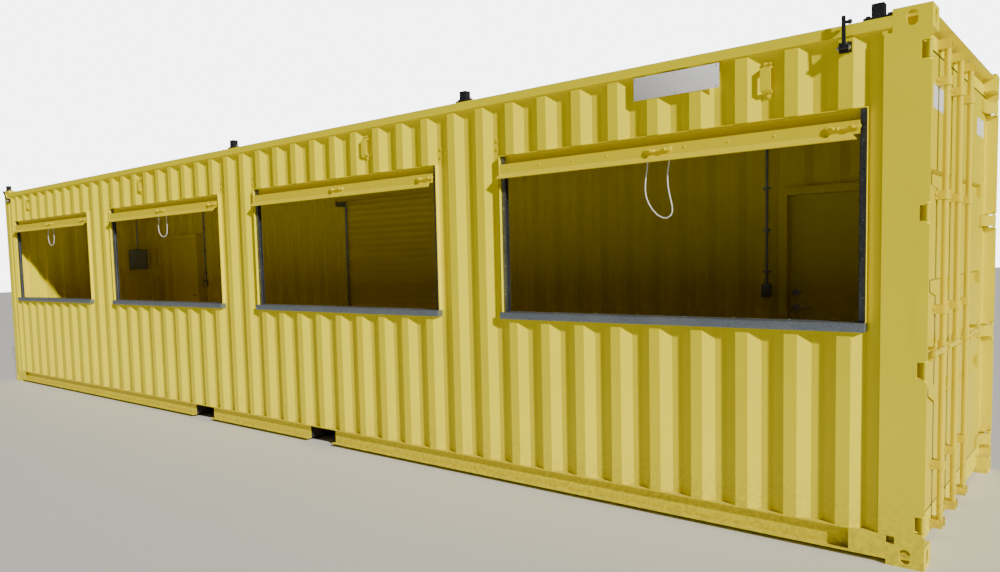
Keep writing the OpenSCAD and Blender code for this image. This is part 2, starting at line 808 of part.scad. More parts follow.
module back_shutter_guides() color(galvanised)
    translate([roll_door_x, 0, 0]) mirror([0, 1, 0]) guide_pair(roll_door_w, deck_z, head_z);

// Frame of one service door, with its latch side towards -X.
module service_frame() {
    half = service_w / 2;
    difference() {
        block([-service_out, frame_y0, deck_z], [service_out, frame_y1, service_head + service_face]);
        block([-half, service_y0, deck_z - e], [half, frame_y1 + e, service_head]);
        block([-half + service_stop, frame_y0 - e, deck_z - e],
            [half - service_stop, service_y0 + e, service_head - service_stop]);
    }
    for (f = butt_zs) {
        z = deck_z + f * service_h;
        for (s = [-1, 1])
            translate([half, butt_y, z + s * butt_h / 3 - butt_h / 6])
                cylinder(r = butt_r, h = butt_h / 3 - 1);
        translate([half, butt_y, z - butt_h / 2]) cylinder(d = butt_pin_d, h = butt_h);
        block([half, frame_y1 - e, z - butt_h / 2], [half + 24, frame_y1 + 3, z - butt_h / 6 - 1]);
        block([half, frame_y1 - e, z + butt_h / 6], [half + 24, frame_y1 + 3, z + butt_h / 2 - 1]);
    }
}

module service_leaf() {
    half = service_w / 2;
    block([-half + service_gap, service_y0 + 0.3, deck_z + service_gap],
        [half - service_gap, service_y1, service_head - service_gap]);
    for (f = butt_zs) {
        z = deck_z + f * service_h;
        difference() {
            union() {
                translate([half, butt_y, z - butt_h / 6 + 0.5]) cylinder(r = butt_r, h = butt_h / 3 - 2);
                block([half - 30, service_y1 - e, z - butt_h / 6 + 0.5],
                    [half, butt_y - 4, z + butt_h / 6 - 1.5]);
            }
            translate([half, butt_y, z - butt_h]) cylinder(d = butt_pin_d + 0.6, h = 2 * butt_h);
        }
    }
}

// Lever set and deadbolt of one service door, inside and outside.
module service_lock() {
    half = service_w / 2;
    x = -half + 65;
    for (s = [0, 1]) {
        y = s == 0 ? service_y0 + 0.3 : service_y1;
        out = s == 0 ? -1 : 1;
        translate([x, y, deck_z + 1017]) rotate([-90 * out, 0, 0]) {
            cylinder(r = 32, h = 12);
            cylinder(r = 11, h = 50);
        }
        translate([x - 10, min(y + out * 40, y + out * 54), deck_z + 1017 - 10]) cube([125, 14, 20]);
        translate([x, y, deck_z + 1145]) rotate([-90 * out, 0, 0]) {
            cylinder(r = 30, h = 14);
            cylinder(r = 9, h = 30);
        }
    }
}

module service_door_frames() color(yellow)
    both_ends() translate([service_x, 0, 0]) service_frame();

module service_door_east() color(yellow) translate([service_x, 0, 0]) service_leaf();
module service_door_west() color(yellow) mirror([1, 0, 0]) translate([service_x, 0, 0]) service_leaf();
module service_lock_east() color(galvanised) translate([service_x, 0, 0]) service_lock();
module service_lock_west() color(galvanised) mirror([1, 0, 0]) translate([service_x, 0, 0]) service_lock();

module electrical_panel() color("slategray")
    block([deck_x0, panel_y[0], panel_z[0]], [deck_x0 + panel_d, panel_y[1], panel_z[1]]);

module conduits() color(galvanised)
    for (i = [0, 1]) {
        z = conduit_box_z[i] - conduit_box[2] / 2;
        translate([conduit_xs[i], 0, 0]) {
            block([-conduit_box[0] / 2, wall_back_y - conduit_box[1], z],
                [conduit_box[0] / 2, wall_back_y, z + conduit_box[2]]);
            translate([0, wall_back_y - conduit_d / 2, z + conduit_box[2]])
                cylinder(d = conduit_d, h = rail_under - z - conduit_box[2]);
        }
    }

// ---- cargo doors ----

// Pressed recesses of the cargo door at +Y, grown by g on every side.
module recesses(g)
    for (z = recess_zs)
        rotate([90, 0, 0]) translate([0, 0, -leaf_y + side_bar + 40 - g])
            linear_extrude(height = leaf_y - meet_gap - 2 * side_bar - 80 + 2 * g)
                polygon([[door_face + e, z - recess_h / 2 - recess_d / 2 - g],
                    [door_face - recess_d - g, z - recess_h / 2 + 10 - g],
                    [door_face - recess_d - g, z + recess_h / 2 - 10 + g],
                    [door_face + e, z + recess_h / 2 + g]]);

// Leaf of the cargo door at +Y, closed: a frame of bars round a pressed sheet
// with recesses, and four hinge blades.
module cargo_leaf() {
    difference() {
        block([door_back, meet_gap, leaf_z0], [door_face, leaf_y, leaf_z1]);
        // behind the sheet
        difference() {
            block([door_back - e, meet_gap + side_bar, leaf_z0 + frame_bar],
                [door_face - panel_t, leaf_y - side_bar, leaf_z1 - frame_bar]);
            recesses(panel_t);
        }
        recesses(0);
    }
    for (z = hinge_zs)
        difference() {
            translate([0, 0, z - blade_h / 2]) linear_extrude(height = blade_h) {
                translate([pin_x, pin_y]) circle(r = 13);
                polygon([[door_face, leaf_y - 180], [door_face + blade_t, leaf_y - 180],
                    [door_face + blade_t + 4, leaf_y - 30], [pin_x + 12, pin_y - 12],
                    [pin_x - 2, pin_y + 12], [door_face, leaf_y - 6]]);
            }
            translate([pin_x, pin_y, z - blade_h]) cylinder(d = pin_d + 0.6, h = 2 * blade_h);
        }
}

// Rubber seal of the leaf at +Y, round its outer edge.
module cargo_seal_ring() {
    t = door_gap - seal_free;
    m = meet_gap - seal_free;
    x0 = door_face - 24;
    difference() {
        block([x0, m, leaf_z0 - t], [door_face - 2, leaf_y + t, leaf_z1 + t]);
        block([x0 - e, meet_gap, leaf_z0], [door_face, leaf_y, leaf_z1]);
    }
}

// Guides of one door's rods at the places ys, and the catches for the handles.
module rod_guides(ys) {
    r = rod_d / 2 + guide_wall;
    for (y = ys) {
        for (z = guide_zs)
            difference() {
                union() {
                    translate([rod_x, y, z - guide_h / 2]) cylinder(r = r, h = guide_h);
                    block([door_face, y - r, z - guide_h / 2], [rod_x, y + r, z + guide_h / 2]);
                    block([door_face, y - r - 24, z - guide_h / 2], [door_face + 6, y + r + 24, z + guide_h / 2]);
                }
                translate([rod_x, y, z - guide_h]) cylinder(d = rod_d + 2 * rod_play, h = 2 * guide_h);
            }
        block([door_face, y + handle_l - 50, handle_z - 40], [rod_x + rod_d / 2 - 6, y + handle_l - 20, handle_z - handle_h / 2 - 1]);
    }
}

// Lock rod with its cams and handle: the rod's axis is at y, and the handle
// reaches away from the middle, on side s of it.
module lock_rod(y, s) {
    x = rod_x;
    translate([x, y, rod_z0]) cylinder(d = rod_d, h = rod_z1 - rod_z0);
    for (z = cam_zs)
        translate([x, y, z]) linear_extrude(height = cam_h)
            intersection() {
                circle(r = cam_r);
                translate([-cam_r, -15]) square([cam_r + 15, 30]);
            }
    translate([x, y, handle_z - 32]) cylinder(r = rod_d / 2 + 7, h = 64);
    translate([x + rod_d / 2 - 4, min(y, y + s * handle_l), handle_z - handle_h / 2])
        cube([handle_t, handle_l, handle_h]);
}

// Cheeks on each side of every cam, on the header and the sill.
module cam_keepers() color(yellow)
    for (y = [-rod_y2, -rod_y1, rod_y1], z = cam_zs, s = [-1, 1]) {
        a = y + s * (cam_r + cheek_gap);
        b = a + s * cheek_t;
        block([door_face, min(a, b), z - 8], [rod_x + 22, max(a, b), z + cam_h + 8]);
    }

module cargo_door_back() color(yellow) cargo_leaf();
module cargo_door_front() color(yellow) mirror([0, 1, 0]) cargo_leaf();
module cargo_seal_back() color(black) cargo_seal_ring();
module cargo_seal_front() color(black) mirror([0, 1, 0]) cargo_seal_ring();
module rod_guides_back() color(yellow) rod_guides([rod_y1]);
module rod_guides_front() color(yellow) mirror([0, 1, 0]) rod_guides([rod_y1, rod_y2]);
module lock_rod_1() color(yellow) lock_rod(-rod_y2, -1);
module lock_rod_2() color(yellow) lock_rod(-rod_y1, -1);
module lock_rod_3() color(yellow) lock_rod(rod_y1, 1);

lower_castings();
upper_castings();
door_end_posts();
blind_end_posts();
bottom_rails();
top_rails();
door_sill();
door_header();
blind_end_beams();
cross_members();
fork_pockets();
floor_deck();
roof_sheet();
front_wall_lower();
front_wall_upper();
front_wall_piers();
back_wall_sheets();
back_wall_over_doors();
blind_end_wall();
window_frames();
counters();
shutter_guides();
shutter_curtains();
shutter_bottom_bars();
shutter_latches();
pull_rope_1();
pull_rope_2();
pull_rope_4();
roof_post_stubs();
arm_brackets();
wall_grips();
back_shutter();
back_shutter_guides();
service_door_frames();
service_door_east();
service_door_west();
service_lock_east();
service_lock_west();
electrical_panel();
conduits();
cargo_door_front();
cargo_door_back();
cargo_seal_front();
cargo_seal_back();
rod_guides_front();
rod_guides_back();
lock_rod_1();
lock_rod_2();
lock_rod_3();
cam_keepers();
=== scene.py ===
# %% [markdown]
# # Shipping container cabin
# A forty-foot steel container turned into a serving stand. The folded walls,
# the rails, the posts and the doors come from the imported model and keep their
# exact places. This notebook gives them paint, rolls real slats, lays ropes
# and adds the bolts, screws, welds and hinges that a maker would fit.

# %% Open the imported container
import math
import random

import bmesh
import bpy
from mathutils import Matrix, Vector


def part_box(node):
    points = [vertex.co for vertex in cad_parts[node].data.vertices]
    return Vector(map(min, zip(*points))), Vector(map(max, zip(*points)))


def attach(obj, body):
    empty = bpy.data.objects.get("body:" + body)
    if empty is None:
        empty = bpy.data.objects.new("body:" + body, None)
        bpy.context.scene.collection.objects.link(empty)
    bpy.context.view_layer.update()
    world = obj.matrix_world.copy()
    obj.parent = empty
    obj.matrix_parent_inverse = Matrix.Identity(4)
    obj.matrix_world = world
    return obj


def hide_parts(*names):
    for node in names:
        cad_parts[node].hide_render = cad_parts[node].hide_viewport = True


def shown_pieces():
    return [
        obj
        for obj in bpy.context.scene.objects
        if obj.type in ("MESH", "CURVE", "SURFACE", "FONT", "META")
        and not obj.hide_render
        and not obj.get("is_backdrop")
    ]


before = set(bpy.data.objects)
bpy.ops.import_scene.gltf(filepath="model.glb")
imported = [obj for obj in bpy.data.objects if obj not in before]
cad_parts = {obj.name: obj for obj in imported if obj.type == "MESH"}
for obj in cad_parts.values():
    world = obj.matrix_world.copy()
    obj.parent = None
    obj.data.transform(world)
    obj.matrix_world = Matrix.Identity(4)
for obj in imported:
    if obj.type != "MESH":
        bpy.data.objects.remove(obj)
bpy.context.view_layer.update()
chance = random.Random(11)

# %% [markdown]
# ## Camera
# The stand is seen from its serving side, a little beyond the cargo doors and
# at eye height, with a wide lens. A small shift frames it, so that the camera
# itself stays nearly level.

# %% Set the camera at eye height beside the cargo doors
SENSOR_WIDTH = 36
camera_data = bpy.data.cameras.new("camera")
camera_data.sensor_width = SENSOR_WIDTH
camera_data.lens = SENSOR_WIDTH * 0.783007
camera_data.shift_x = 0.05243
camera_data.shift_y = 0.02938
camera_data.clip_end = 200
camera = bpy.data.objects.new("camera", camera_data)
bpy.context.scene.collection.objects.link(camera)
camera.location = (6.89322, -5.79839, 1.69845)
camera.rotation_euler = [math.radians(a) for a in (85.81308, 1.60852, 41.38309)]
bpy.context.scene.camera = camera
print("camera looks from", tuple(camera.location))

# %% [markdown]
# ## Pull ropes
# Three shutters have a loop of white rope tied to the bottom bar. A laid rope
# is three strands twisted together, so the section is a trefoil and the curve
# turns it along its length. The curve is then made a mesh. A loop's points
# are millimetres to the right of its middle and above the ground.

# %% Lay the three ropes
ROPE_D = 0.009
ROPE_Y = -1.190
STRAND_LAY = 0.032
ROPE_STEPS = 260
OUTLINE_POINTS = 18
SHORT_LOOP = [
    (-71, 2296), (-71, 2275), (-88, 2215), (-97, 2170), (-98, 2130), (-86, 2090), (-60, 2057),
    (-24, 2036), (16, 2030), (52, 2039), (80, 2062), (94, 2098), (97, 2140), (95, 2185),
    (92, 2230), (90, 2272), (90, 2296),
]
LONG_LOOP = [
    (-73, 2296), (-73, 2270), (-76, 2235), (-84, 2188), (-91, 2142), (-93, 2095), (-86, 2050),
    (-69, 2006), (-42, 1965), (-10, 1932), (27, 1912), (56, 1911), (78, 1924), (90, 1948),
    (89, 1978), (80, 2020), (70, 2062), (62, 2107), (59, 2152), (62, 2200), (69, 2240),
    (74, 2272), (74, 2296),
]
ROPE_PLACES = {"pull_rope_1": (-4.560, SHORT_LOOP), "pull_rope_2": (-1.490, SHORT_LOOP),
               "pull_rope_4": (4.616, LONG_LOOP)}


def trefoil(radius):
    """Closed outline of three strands side by side, as a curve object."""
    data = bpy.data.curves.new("trefoil", "CURVE")
    data.dimensions = "2D"
    line = data.splines.new("POLY")
    line.points.add(OUTLINE_POINTS - 1)
    line.use_cyclic_u = True
    for i, point in enumerate(line.points):
        turn = math.tau * i / OUTLINE_POINTS
        reach = radius * (0.90 + 0.10 * math.cos(3 * turn))
        point.co = (reach * math.cos(turn), reach * math.sin(turn), 0, 1)
    outline = bpy.data.objects.new("trefoil", data)
    bpy.context.scene.collection.objects.link(outline)
    return outline


def lay_rope(name, x, loop):
    """Rope of three strands along the loop's points, as a mesh."""
    route = [(x + u / 1000, ROPE_Y, z / 1000) for u, z in loop]
    walked = [0.0]
    for a, b in zip(route, route[1:]):
        walked.append(walked[-1] + (Vector(b) - Vector(a)).length)
    data = bpy.data.curves.new(name, "CURVE")
    data.dimensions = "3D"
    data.resolution_u = 10
    data.twist_mode = "MINIMUM"
    data.bevel_mode = "OBJECT"
    data.bevel_object = trefoil(ROPE_D / 2)
    data.use_fill_caps = True
    line = data.splines.new("POLY")
    line.points.add(ROPE_STEPS)
    for i, point in enumerate(line.points):
        here = walked[-1] * i / ROPE_STEPS
        k = max(j for j in range(len(route) - 1) if walked[j] <= here + 1e-9)
        share = (here - walked[k]) / (walked[k + 1] - walked[k])
        point.co = (*Vector(route[k]).lerp(Vector(route[k + 1]), share), 1)
        point.tilt = math.tau * here / STRAND_LAY
    curve = bpy.data.objects.new(name + "_curve", data)
    bpy.context.scene.collection.objects.link(curve)
    bpy.context.view_layer.update()
    shaped = curve.evaluated_get(bpy.context.evaluated_depsgraph_get())
    mesh = bpy.data.meshes.new_from_object(shaped)
    outline = data.bevel_object
    bpy.data.objects.remove(curve)
    bpy.data.objects.remove(outline)
    rope = bpy.data.objects.new("laid_" + name, mesh)
    bpy.context.scene.collection.objects.link(rope)
    for face in mesh.polygons:
        face.use_smooth = True
    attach(rope, "root")
    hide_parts(name)
    print(name, "is", round(walked[-1], 3), "m long,", len(mesh.polygons), "faces")
    return rope


ropes = [lay_rope(name, x, loop) for name, (x, loop) in ROPE_PLACES.items()]

# %% [markdown]
# ## Shader maths
# A finish is a small program of nodes. Wrapping a socket in a class lets it be
# written as sums, such as `0.4 + 0.2 * dust`, and one method adds every other
# kind of node.

# %% Wrap sockets and nodes


class Flow:
    """A socket's value that Python's operators can work on."""

    def __init__(self, finish, socket):
        self.finish = finish
        self.socket = socket

    def maths(self, operation, *others):
        return self.finish.add("ShaderNodeMath", {"operation": operation}, self, *others)

    def __add__(self, other):
        return self.maths("ADD", other)

    def __mul__(self, other):
        return self.maths("MULTIPLY", other)

    def __sub__(self, other):
        return self.maths("SUBTRACT", other)

    def __rsub__(self, other):
        return self.finish.add("ShaderNodeMath", {"operation": "SUBTRACT"}, other, self)

    def __truediv__(self, other):
        return self.maths("DIVIDE", other)

    def __gt__(self, other):
        return self.maths("GREATER_THAN", other)

    __radd__ = __add__
    __rmul__ = __mul__

    def held(self):
        """The value kept between 0 and 1."""
        return self.finish.add("ShaderNodeClamp", {}, self)


class Finish:
    """One material, with its shader and the place of each point on the piece."""

    def __init__(self, name):
        self.material = bpy.data.materials.new(name)
        self.material.use_nodes = True
        self.nodes = self.material.node_tree.nodes
        self.links = self.material.node_tree.links
        self.shader = self.nodes["Principled BSDF"]
        self.place = self.add("ShaderNodeTexCoord", {}, out="Object")
        axes = self.nodes.new("ShaderNodeSeparateXYZ")
        self.links.new(self.place.socket, axes.inputs[0])
        self.x, self.y, self.z = [Flow(self, axes.outputs[i]) for i in range(3)]
        geometry = self.nodes.new("ShaderNodeNewGeometry")
        facing = self.nodes.new("ShaderNodeSeparateXYZ")
        self.links.new(geometry.outputs["Normal"], facing.inputs[0])
        self.up = Flow(self, facing.outputs[2])

    def add(self, kind, settings, *values, out=0, **named):
        """Adds a node of a kind, applies its settings, then fills its sockets."""
        node = self.nodes.new(kind)
        for key, value in settings.items():
            if key == "stops":
                ramp = node.color_ramp.elements
                while len(ramp) < len(value):
                    ramp.new(1)
                for stop, (at, colour) in zip(ramp, value):
                    stop.position = at
                    stop.color = (*colour, 1)
            else:
                setattr(node, key, value)
        filled = list(enumerate(values))
        filled += [(key.replace("_", " "), value) for key, value in named.items()]
        for key, value in filled:
            if isinstance(value, Flow):
                self.links.new(value.socket, node.inputs[key])
            elif value is not None:
                node.inputs[key].default_value = value
        return Flow(self, node.outputs[out])

    def noise(self, scale, detail=3, rough=0.5, stretch=(1, 1, 1)):
        """Soft noise; a stretch below 1 draws it out along that axis."""
        place = self.add("ShaderNodeMapping", {}, self.place, None, None, stretch)
        return self.add("ShaderNodeTexNoise", {}, Vector=place, Scale=scale, Detail=detail,
                        Roughness=rough)

    def cells(self, scale):
        """Distance in a field of cells, for spangle."""
        return self.add("ShaderNodeTexVoronoi", {}, Vector=self.place, Scale=scale)

    def mixed(self, share, first, second):
        """A colour between two, by a share from 0 to 1."""
        node = self.nodes.new("ShaderNodeMix")
        node.data_type = "RGBA"
        for index, value in ((0, share), (6, first), (7, second)):
            if isinstance(value, Flow):
                self.links.new(value.socket, node.inputs[index])
            else:
                node.inputs[index].default_value = value if index == 0 else (*value, 1)
        return Flow(self, node.outputs[2])

    def band(self, value, low, high):
        """0 below low and 1 above high, straight between them."""
        return self.add("ShaderNodeMapRange", {"clamp": True}, value, low, high, 0.0, 1.0)

    def bumps(self, height, distance, strength=1.0):
        """Sends a height through a Bump node to the shader's normal."""
        normal = self.add("ShaderNodeBump", {}, Strength=strength, Distance=distance,
                          Height=height)
        self.links.new(normal.socket, self.shader.inputs["Normal"])

    def done(self, colour, roughness, **fixed):
        """Links colour and roughness, and sets the other sockets to plain numbers."""
        for key, value in (("Base Color", colour), ("Roughness", roughness)):
            if isinstance(value, Flow):
                self.links.new(value.socket, self.shader.inputs[key])
            else:
                self.shader.inputs[key].default_value = value
        for key, value in fixed.items():
            self.shader.inputs[key.replace("_", " ")].default_value = value
        return self.material


print("shader tools ready")

# %% [markdown]
# ## Container paint
# The stand was sprayed one strong yellow all over. Sprayed steel is never one
# flat colour: the coat is thinner in places, dust settles on what faces up,
# splashed dirt clings near the ground, rain draws faint streaks, and the skin
# of the paint has an orange-peel ripple. Each cause is one mask. The cargo
# doors take a darker copy of the yellow, which is painted shade.

# %% Mix the sprayed yellow paint
YELLOW = (0.92, 0.79, 0.0)
SHADED_YELLOW = (0.76, 0.61, 0.0)


def sprayed_paint(name, colour=YELLOW, deep=SHADED_YELLOW, gloss=0.34, grime=0.5, chips=0.3,
                  waves=1.0, ground=True):
    """Yellow paint on steel, with dust, splashes, streaks and small chips."""
    f = Finish(name)
    patches = f.noise(0.9, 4, 0.6)
    coat = f.mixed(f.band(patches, 0.35, 0.75) * 0.35, colour, deep)
    streaks = f.band(f.noise(5.0, 3, 0.55, stretch=(4, 4, 0.12)), 0.52, 0.75)
    speckle = f.noise(34, 4, 0.65)
    dust = f.band(f.up, 0.55, 0.95) * f.band(f.noise(1.7, 5, 0.65), 0.25, 0.70)
    coat = f.mixed(streaks * (0.08 * grime), coat, (0.42, 0.33, 0.05))
    coat = f.mixed(dust * (0.55 * grime), coat, (0.52, 0.46, 0.27))
    rough = gloss + 0.10 * patches + 0.25 * dust
    if ground:
        splash = f.band(f.z + 0.35 * f.noise(2.6, 5, 0.7), 0.62, 0.16)
        spots = f.band(speckle, 0.40, 0.62)
        coat = f.mixed(splash * spots * (0.75 * grime), coat, (0.27, 0.19, 0.07))
        rough = rough + 0.18 * splash
    chip = f.band(f.noise(15, 5, 0.7), 0.715, 0.735) * f.band(f.noise(1.3, 2), 0.50, 0.62)
    coat = f.mixed(chip * chips, coat, (0.16, 0.075, 0.035))
    peel = f.noise(170, 2, 0.5)
    oil_can = f.noise(1.6, 2, 0.4)
    f.bumps(0.25 * peel + (2.2 * waves) * oil_can - 0.5 * chip, 0.0012, 0.55)
    return f.done(coat, (rough + 0.12 * chip).held(), IOR=1.42, Specular_IOR_Level=0.32)


wall_paint = sprayed_paint("wall_paint")
frame_paint = sprayed_paint("frame_paint", gloss=0.30, grime=0.6, chips=0.7, waves=0.4)
roof_paint = sprayed_paint("roof_paint", gloss=0.45, grime=1.0, chips=0.5, ground=False)
# The cargo doors take a darker copy of the yellow: painted shade on the door end.
door_end_shaded_paint = sprayed_paint("door_end_shaded_paint", (0.68, 0.57, 0.0), (0.56, 0.44, 0.0),
                               gloss=0.36, grime=0.45, chips=0.5)
shutter_paint = sprayed_paint("shutter_paint", colour=(0.86, 0.71, 0.0), gloss=0.28, grime=0.25,
                              chips=0.15, waves=0.2, ground=False)
service_door_paint = sprayed_paint("service_door_paint", gloss=0.30, grime=0.25, chips=0.25,
                                   waves=0.6)
hardware_paint = sprayed_paint("hardware_paint", (0.72, 0.58, 0.0), (0.58, 0.43, 0.0),
                               gloss=0.38, grime=0.8, chips=0.9, waves=0.0)
print("yellow paints mixed")

# %% [markdown]
# ## Bare and coated metals
# Guides and counters are galvanised: zinc freezes in crystals, which show as a
# faint spangle of lighter and darker cells. The shutter guides take a much
# darker zinc, which is painted shade. Brackets and stubs are satin black, and
# the door furniture is brushed.

# %% Make the galvanised, black, brushed and bolt finishes


def galvanised_sheet(name, light=(0.36, 0.40, 0.45), dark=(0.22, 0.25, 0.29), rough=0.42):
    """Zinc-coated sheet with a spangle and a little white bloom."""
    f = Finish(name)
    spangle = f.cells(75)
    bloom = f.band(f.noise(3.0, 5, 0.65), 0.45, 0.8)
    colour = f.mixed(f.band(spangle, 0.1, 0.7), light, dark)
    colour = f.mixed(0.30 * bloom, colour, (0.40, 0.43, 0.46))
    scratches = f.noise(22, 4, 0.6, stretch=(0.15, 5, 5))
    f.bumps(0.4 * scratches + 0.2 * spangle, 0.0006, 0.4)
    return f.done(colour, rough + 0.14 * bloom + 0.08 * scratches, Metallic=0.75)


def black_coat(name, colour=(0.013, 0.014, 0.016), rough=0.40):
    """Satin black paint, greyed where dust sits, with a few worn spots."""
    f = Finish(name)
    dust = f.band(f.up, 0.5, 0.95) * f.band(f.noise(9, 4), 0.3, 0.75)
    coat = f.mixed(0.45 * dust, colour, (0.16, 0.15, 0.12))
    worn = f.band(f.noise(38, 4, 0.7), 0.69, 0.73)
    coat = f.mixed(0.6 * worn, coat, (0.22, 0.21, 0.20))
    f.bumps(f.noise(240, 2) - 0.5 * worn, 0.0004, 0.5)
    return f.done(coat, (rough + 0.25 * dust).held())


def brushed_metal(name, colour, deep, rough=0.28, along=(0.1, 9, 9)):
    """Metal drawn along one axis, with fine lines."""
    f = Finish(name)
    lines = f.noise(60, 3, 0.6, stretch=along)
    tarnish = f.band(f.noise(7, 4), 0.45, 0.75)
    f.bumps(lines, 0.0003, 0.35)
    return f.done(f.mixed(0.5 * tarnish, f.mixed(lines, colour, deep), deep),
                  rough + 0.12 * lines + 0.10 * tarnish, Metallic=1.0)


galvanised = galvanised_sheet("galvanised")
# The shutter guides' much darker zinc is painted shade, so that the guides in shade look nearly
# black.
zinc_darkened_as_shade = galvanised_sheet("zinc_darkened_as_shade", (0.15, 0.16, 0.18), (0.08, 0.09, 0.10), 0.5)
counter_steel = galvanised_sheet("counter_steel", (0.27, 0.31, 0.37), (0.20, 0.235, 0.285),
                                 0.36)
black_paint = black_coat("black_paint")
satin_nickel = brushed_metal("satin_nickel", (0.62, 0.60, 0.56), (0.42, 0.40, 0.37))
zinc_bolt = brushed_metal("zinc_bolt", (0.58, 0.58, 0.57), (0.32, 0.31, 0.30), 0.34, (3, 3, 3))
pin_steel = brushed_metal("pin_steel", (0.36, 0.33, 0.30), (0.20, 0.14, 0.10), 0.42, (3, 3, 0.3))
print("metals made")

# %% [markdown]
# ## Floor, rope, rubber and the rest
# The floor is plywood in boards across the container, scuffed and screwed
# down. The rope's yarns run round each strand, the seals are dull rubber with
# a bloom, and the underside is coated with thick black bitumen.

# %% Make the plywood, rope, rubber, enamel and underside finishes
BOARD_PITCH = 1.16


def plywood_floor():
    """Dark marine plywood: grain along the boards, a joint at every pitch."""
    f = Finish("plywood_floor")
    grain = f.noise(14, 6, 0.65, stretch=(0.25, 4, 1))
    rays = f.noise(90, 3, 0.6, stretch=(0.12, 3, 1))
    tone = f.mixed(grain, (0.19, 0.085, 0.036), (0.36, 0.19, 0.092))
    tone = f.mixed(0.45 * rays, tone, (0.13, 0.055, 0.025))
    step = (f.x / BOARD_PITCH).maths("FRACT")
    joint = step > 0.996
    tone = f.mixed(joint, tone, (0.02, 0.012, 0.008))
    scuffs = f.band(f.noise(4.0, 5, 0.7), 0.52, 0.74)
    tone = f.mixed(0.40 * scuffs, tone, (0.42, 0.34, 0.25))
    f.bumps(0.5 * rays + 0.3 * grain - 1.6 * joint, 0.0015, 0.5)
    return f.done(tone, (0.52 + 0.18 * scuffs).held())


def laid_rope():
    """White nylon yarns, a little grey in the grooves."""
    f = Finish("laid_rope")
    yarn = f.noise(620, 2, 0.5)
    soil = f.band(f.noise(22, 4), 0.40, 0.75)
    colour = f.mixed(0.30 * soil, (0.86, 0.86, 0.84), (0.52, 0.49, 0.42))
    f.bumps(yarn, 0.0005, 0.6)
    return f.done(f.mixed(0.15 * yarn, colour, (0.45, 0.44, 0.41)), 0.75)


def seal_rubber():
    """Black extruded rubber, greyed by weather."""
    f = Finish("seal_rubber")
    bloom = f.band(f.noise(11, 5, 0.6), 0.42, 0.78)
    lines = f.noise(150, 2, 0.5, stretch=(1, 1, 0.1))
    f.bumps(lines, 0.0005, 0.4)
    colour = f.mixed(0.5 * bloom, (0.012, 0.012, 0.012), (0.055, 0.052, 0.046))
    return f.done(colour, 0.62 + 0.16 * bloom)


def grey_enamel():
    """Baked grey enamel with a fine texture."""
    f = Finish("grey_enamel")
    haze = f.band(f.noise(5, 4), 0.4, 0.75)
    f.bumps(f.noise(320, 2), 0.0004, 0.5)
    colour = f.mixed(0.5 * haze, (0.20, 0.235, 0.235), (0.27, 0.29, 0.28))
    return f.done(colour, 0.40 + 0.12 * haze)


def underbody_coat():
    """Thick bitumen, mud-splashed."""
    f = Finish("underbody_coat")
    mud = f.band(f.noise(3.2, 6, 0.7), 0.45, 0.72)
    f.bumps(f.noise(45, 4), 0.0025, 0.6)
    colour = f.mixed(0.6 * mud, (0.018, 0.016, 0.014), (0.12, 0.085, 0.05))
    return f.done(colour, 0.55 + 0.25 * mud)


def plain_vinyl():
    """White sign sheet with nothing on it, faintly chalked."""
    f = Finish("plain_vinyl")
    chalk = f.band(f.noise(4, 5, 0.6), 0.35, 0.8)
    f.bumps(f.noise(60, 3), 0.0004, 0.3)
    colour = f.mixed(0.4 * chalk, (0.80, 0.81, 0.82), (0.66, 0.67, 0.68))
    return f.done(colour, 0.32 + 0.15 * chalk)


floor_boards = plywood_floor()
rope_yarn = laid_rope()
rubber = seal_rubber()
enamel = grey_enamel()
bitumen = underbody_coat()
vinyl = plain_vinyl()
for rope in ropes:
    rope.data.materials.clear()
    rope.data.materials.append(rope_yarn)
print(len(bpy.data.materials), "finishes so far")

# %% [markdown]
# ## Finishes on the imported pieces
# Every piece of the imported container takes the finish of what it is, but the
# cargo doors and the shutter guides take darker finishes as painted shade. Long
# folded sheets need nothing more: their folds, edges and slots are real.

# %% Give each imported piece its finish
PACKED = {
    wall_paint: ["front_wall_lower", "front_wall_upper", "front_wall_piers", "back_wall_sheets",
                 "back_wall_over_doors", "blind_end_wall", "window_frames"],
    frame_paint: ["lower_castings", "upper_castings", "door_end_posts", "blind_end_posts",
                  "bottom_rails", "top_rails", "door_sill", "door_header", "blind_end_beams",
                  "service_door_frames", "wall_grips"],
    roof_paint: ["roof_sheet"],
    door_end_shaded_paint: ["cargo_door_front", "cargo_door_back"],
    hardware_paint: ["rod_guides_front", "rod_guides_back", "lock_rod_1", "lock_rod_2",
                     "lock_rod_3", "cam_keepers"],
    shutter_paint: ["shutter_curtains", "shutter_bottom_bars", "back_shutter",
                    "shutter_latches"],
    service_door_paint: ["service_door_east", "service_door_west"],
    galvanised: ["back_shutter_guides", "conduits"],
    zinc_darkened_as_shade: ["shutter_guides"],
    counter_steel: ["counters"],
    satin_nickel: ["service_lock_east", "service_lock_west"],
    black_paint: ["roof_post_stubs", "arm_brackets"],
    # The fork pockets take the same black coat as the cross members, which makes their insides
    # dark.
    bitumen: ["cross_members", "fork_pockets"],
    floor_boards: ["floor_deck"],
    rope_yarn: ["pull_rope_1", "pull_rope_2", "pull_rope_4"],
    rubber: ["cargo_seal_front", "cargo_seal_back"],
    enamel: ["electrical_panel"],
}
for finish, nodes in PACKED.items():
    for node in nodes:
        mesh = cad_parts[node].data
        mesh.materials.clear()
        mesh.materials.append(finish)
finished = sum(len(nodes) for nodes in PACKED.values())
print("finished", finished, "of", len(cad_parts), "pieces")

# %% [markdown]
# ## Shapes in mesh code
# Small parts start as a cube or a cone, are put in place by a matrix and get
# their edges eased. A fastener is made once and stamped many times, which
# keeps every bolt light.

# %% Make the helpers that shape and place a piece


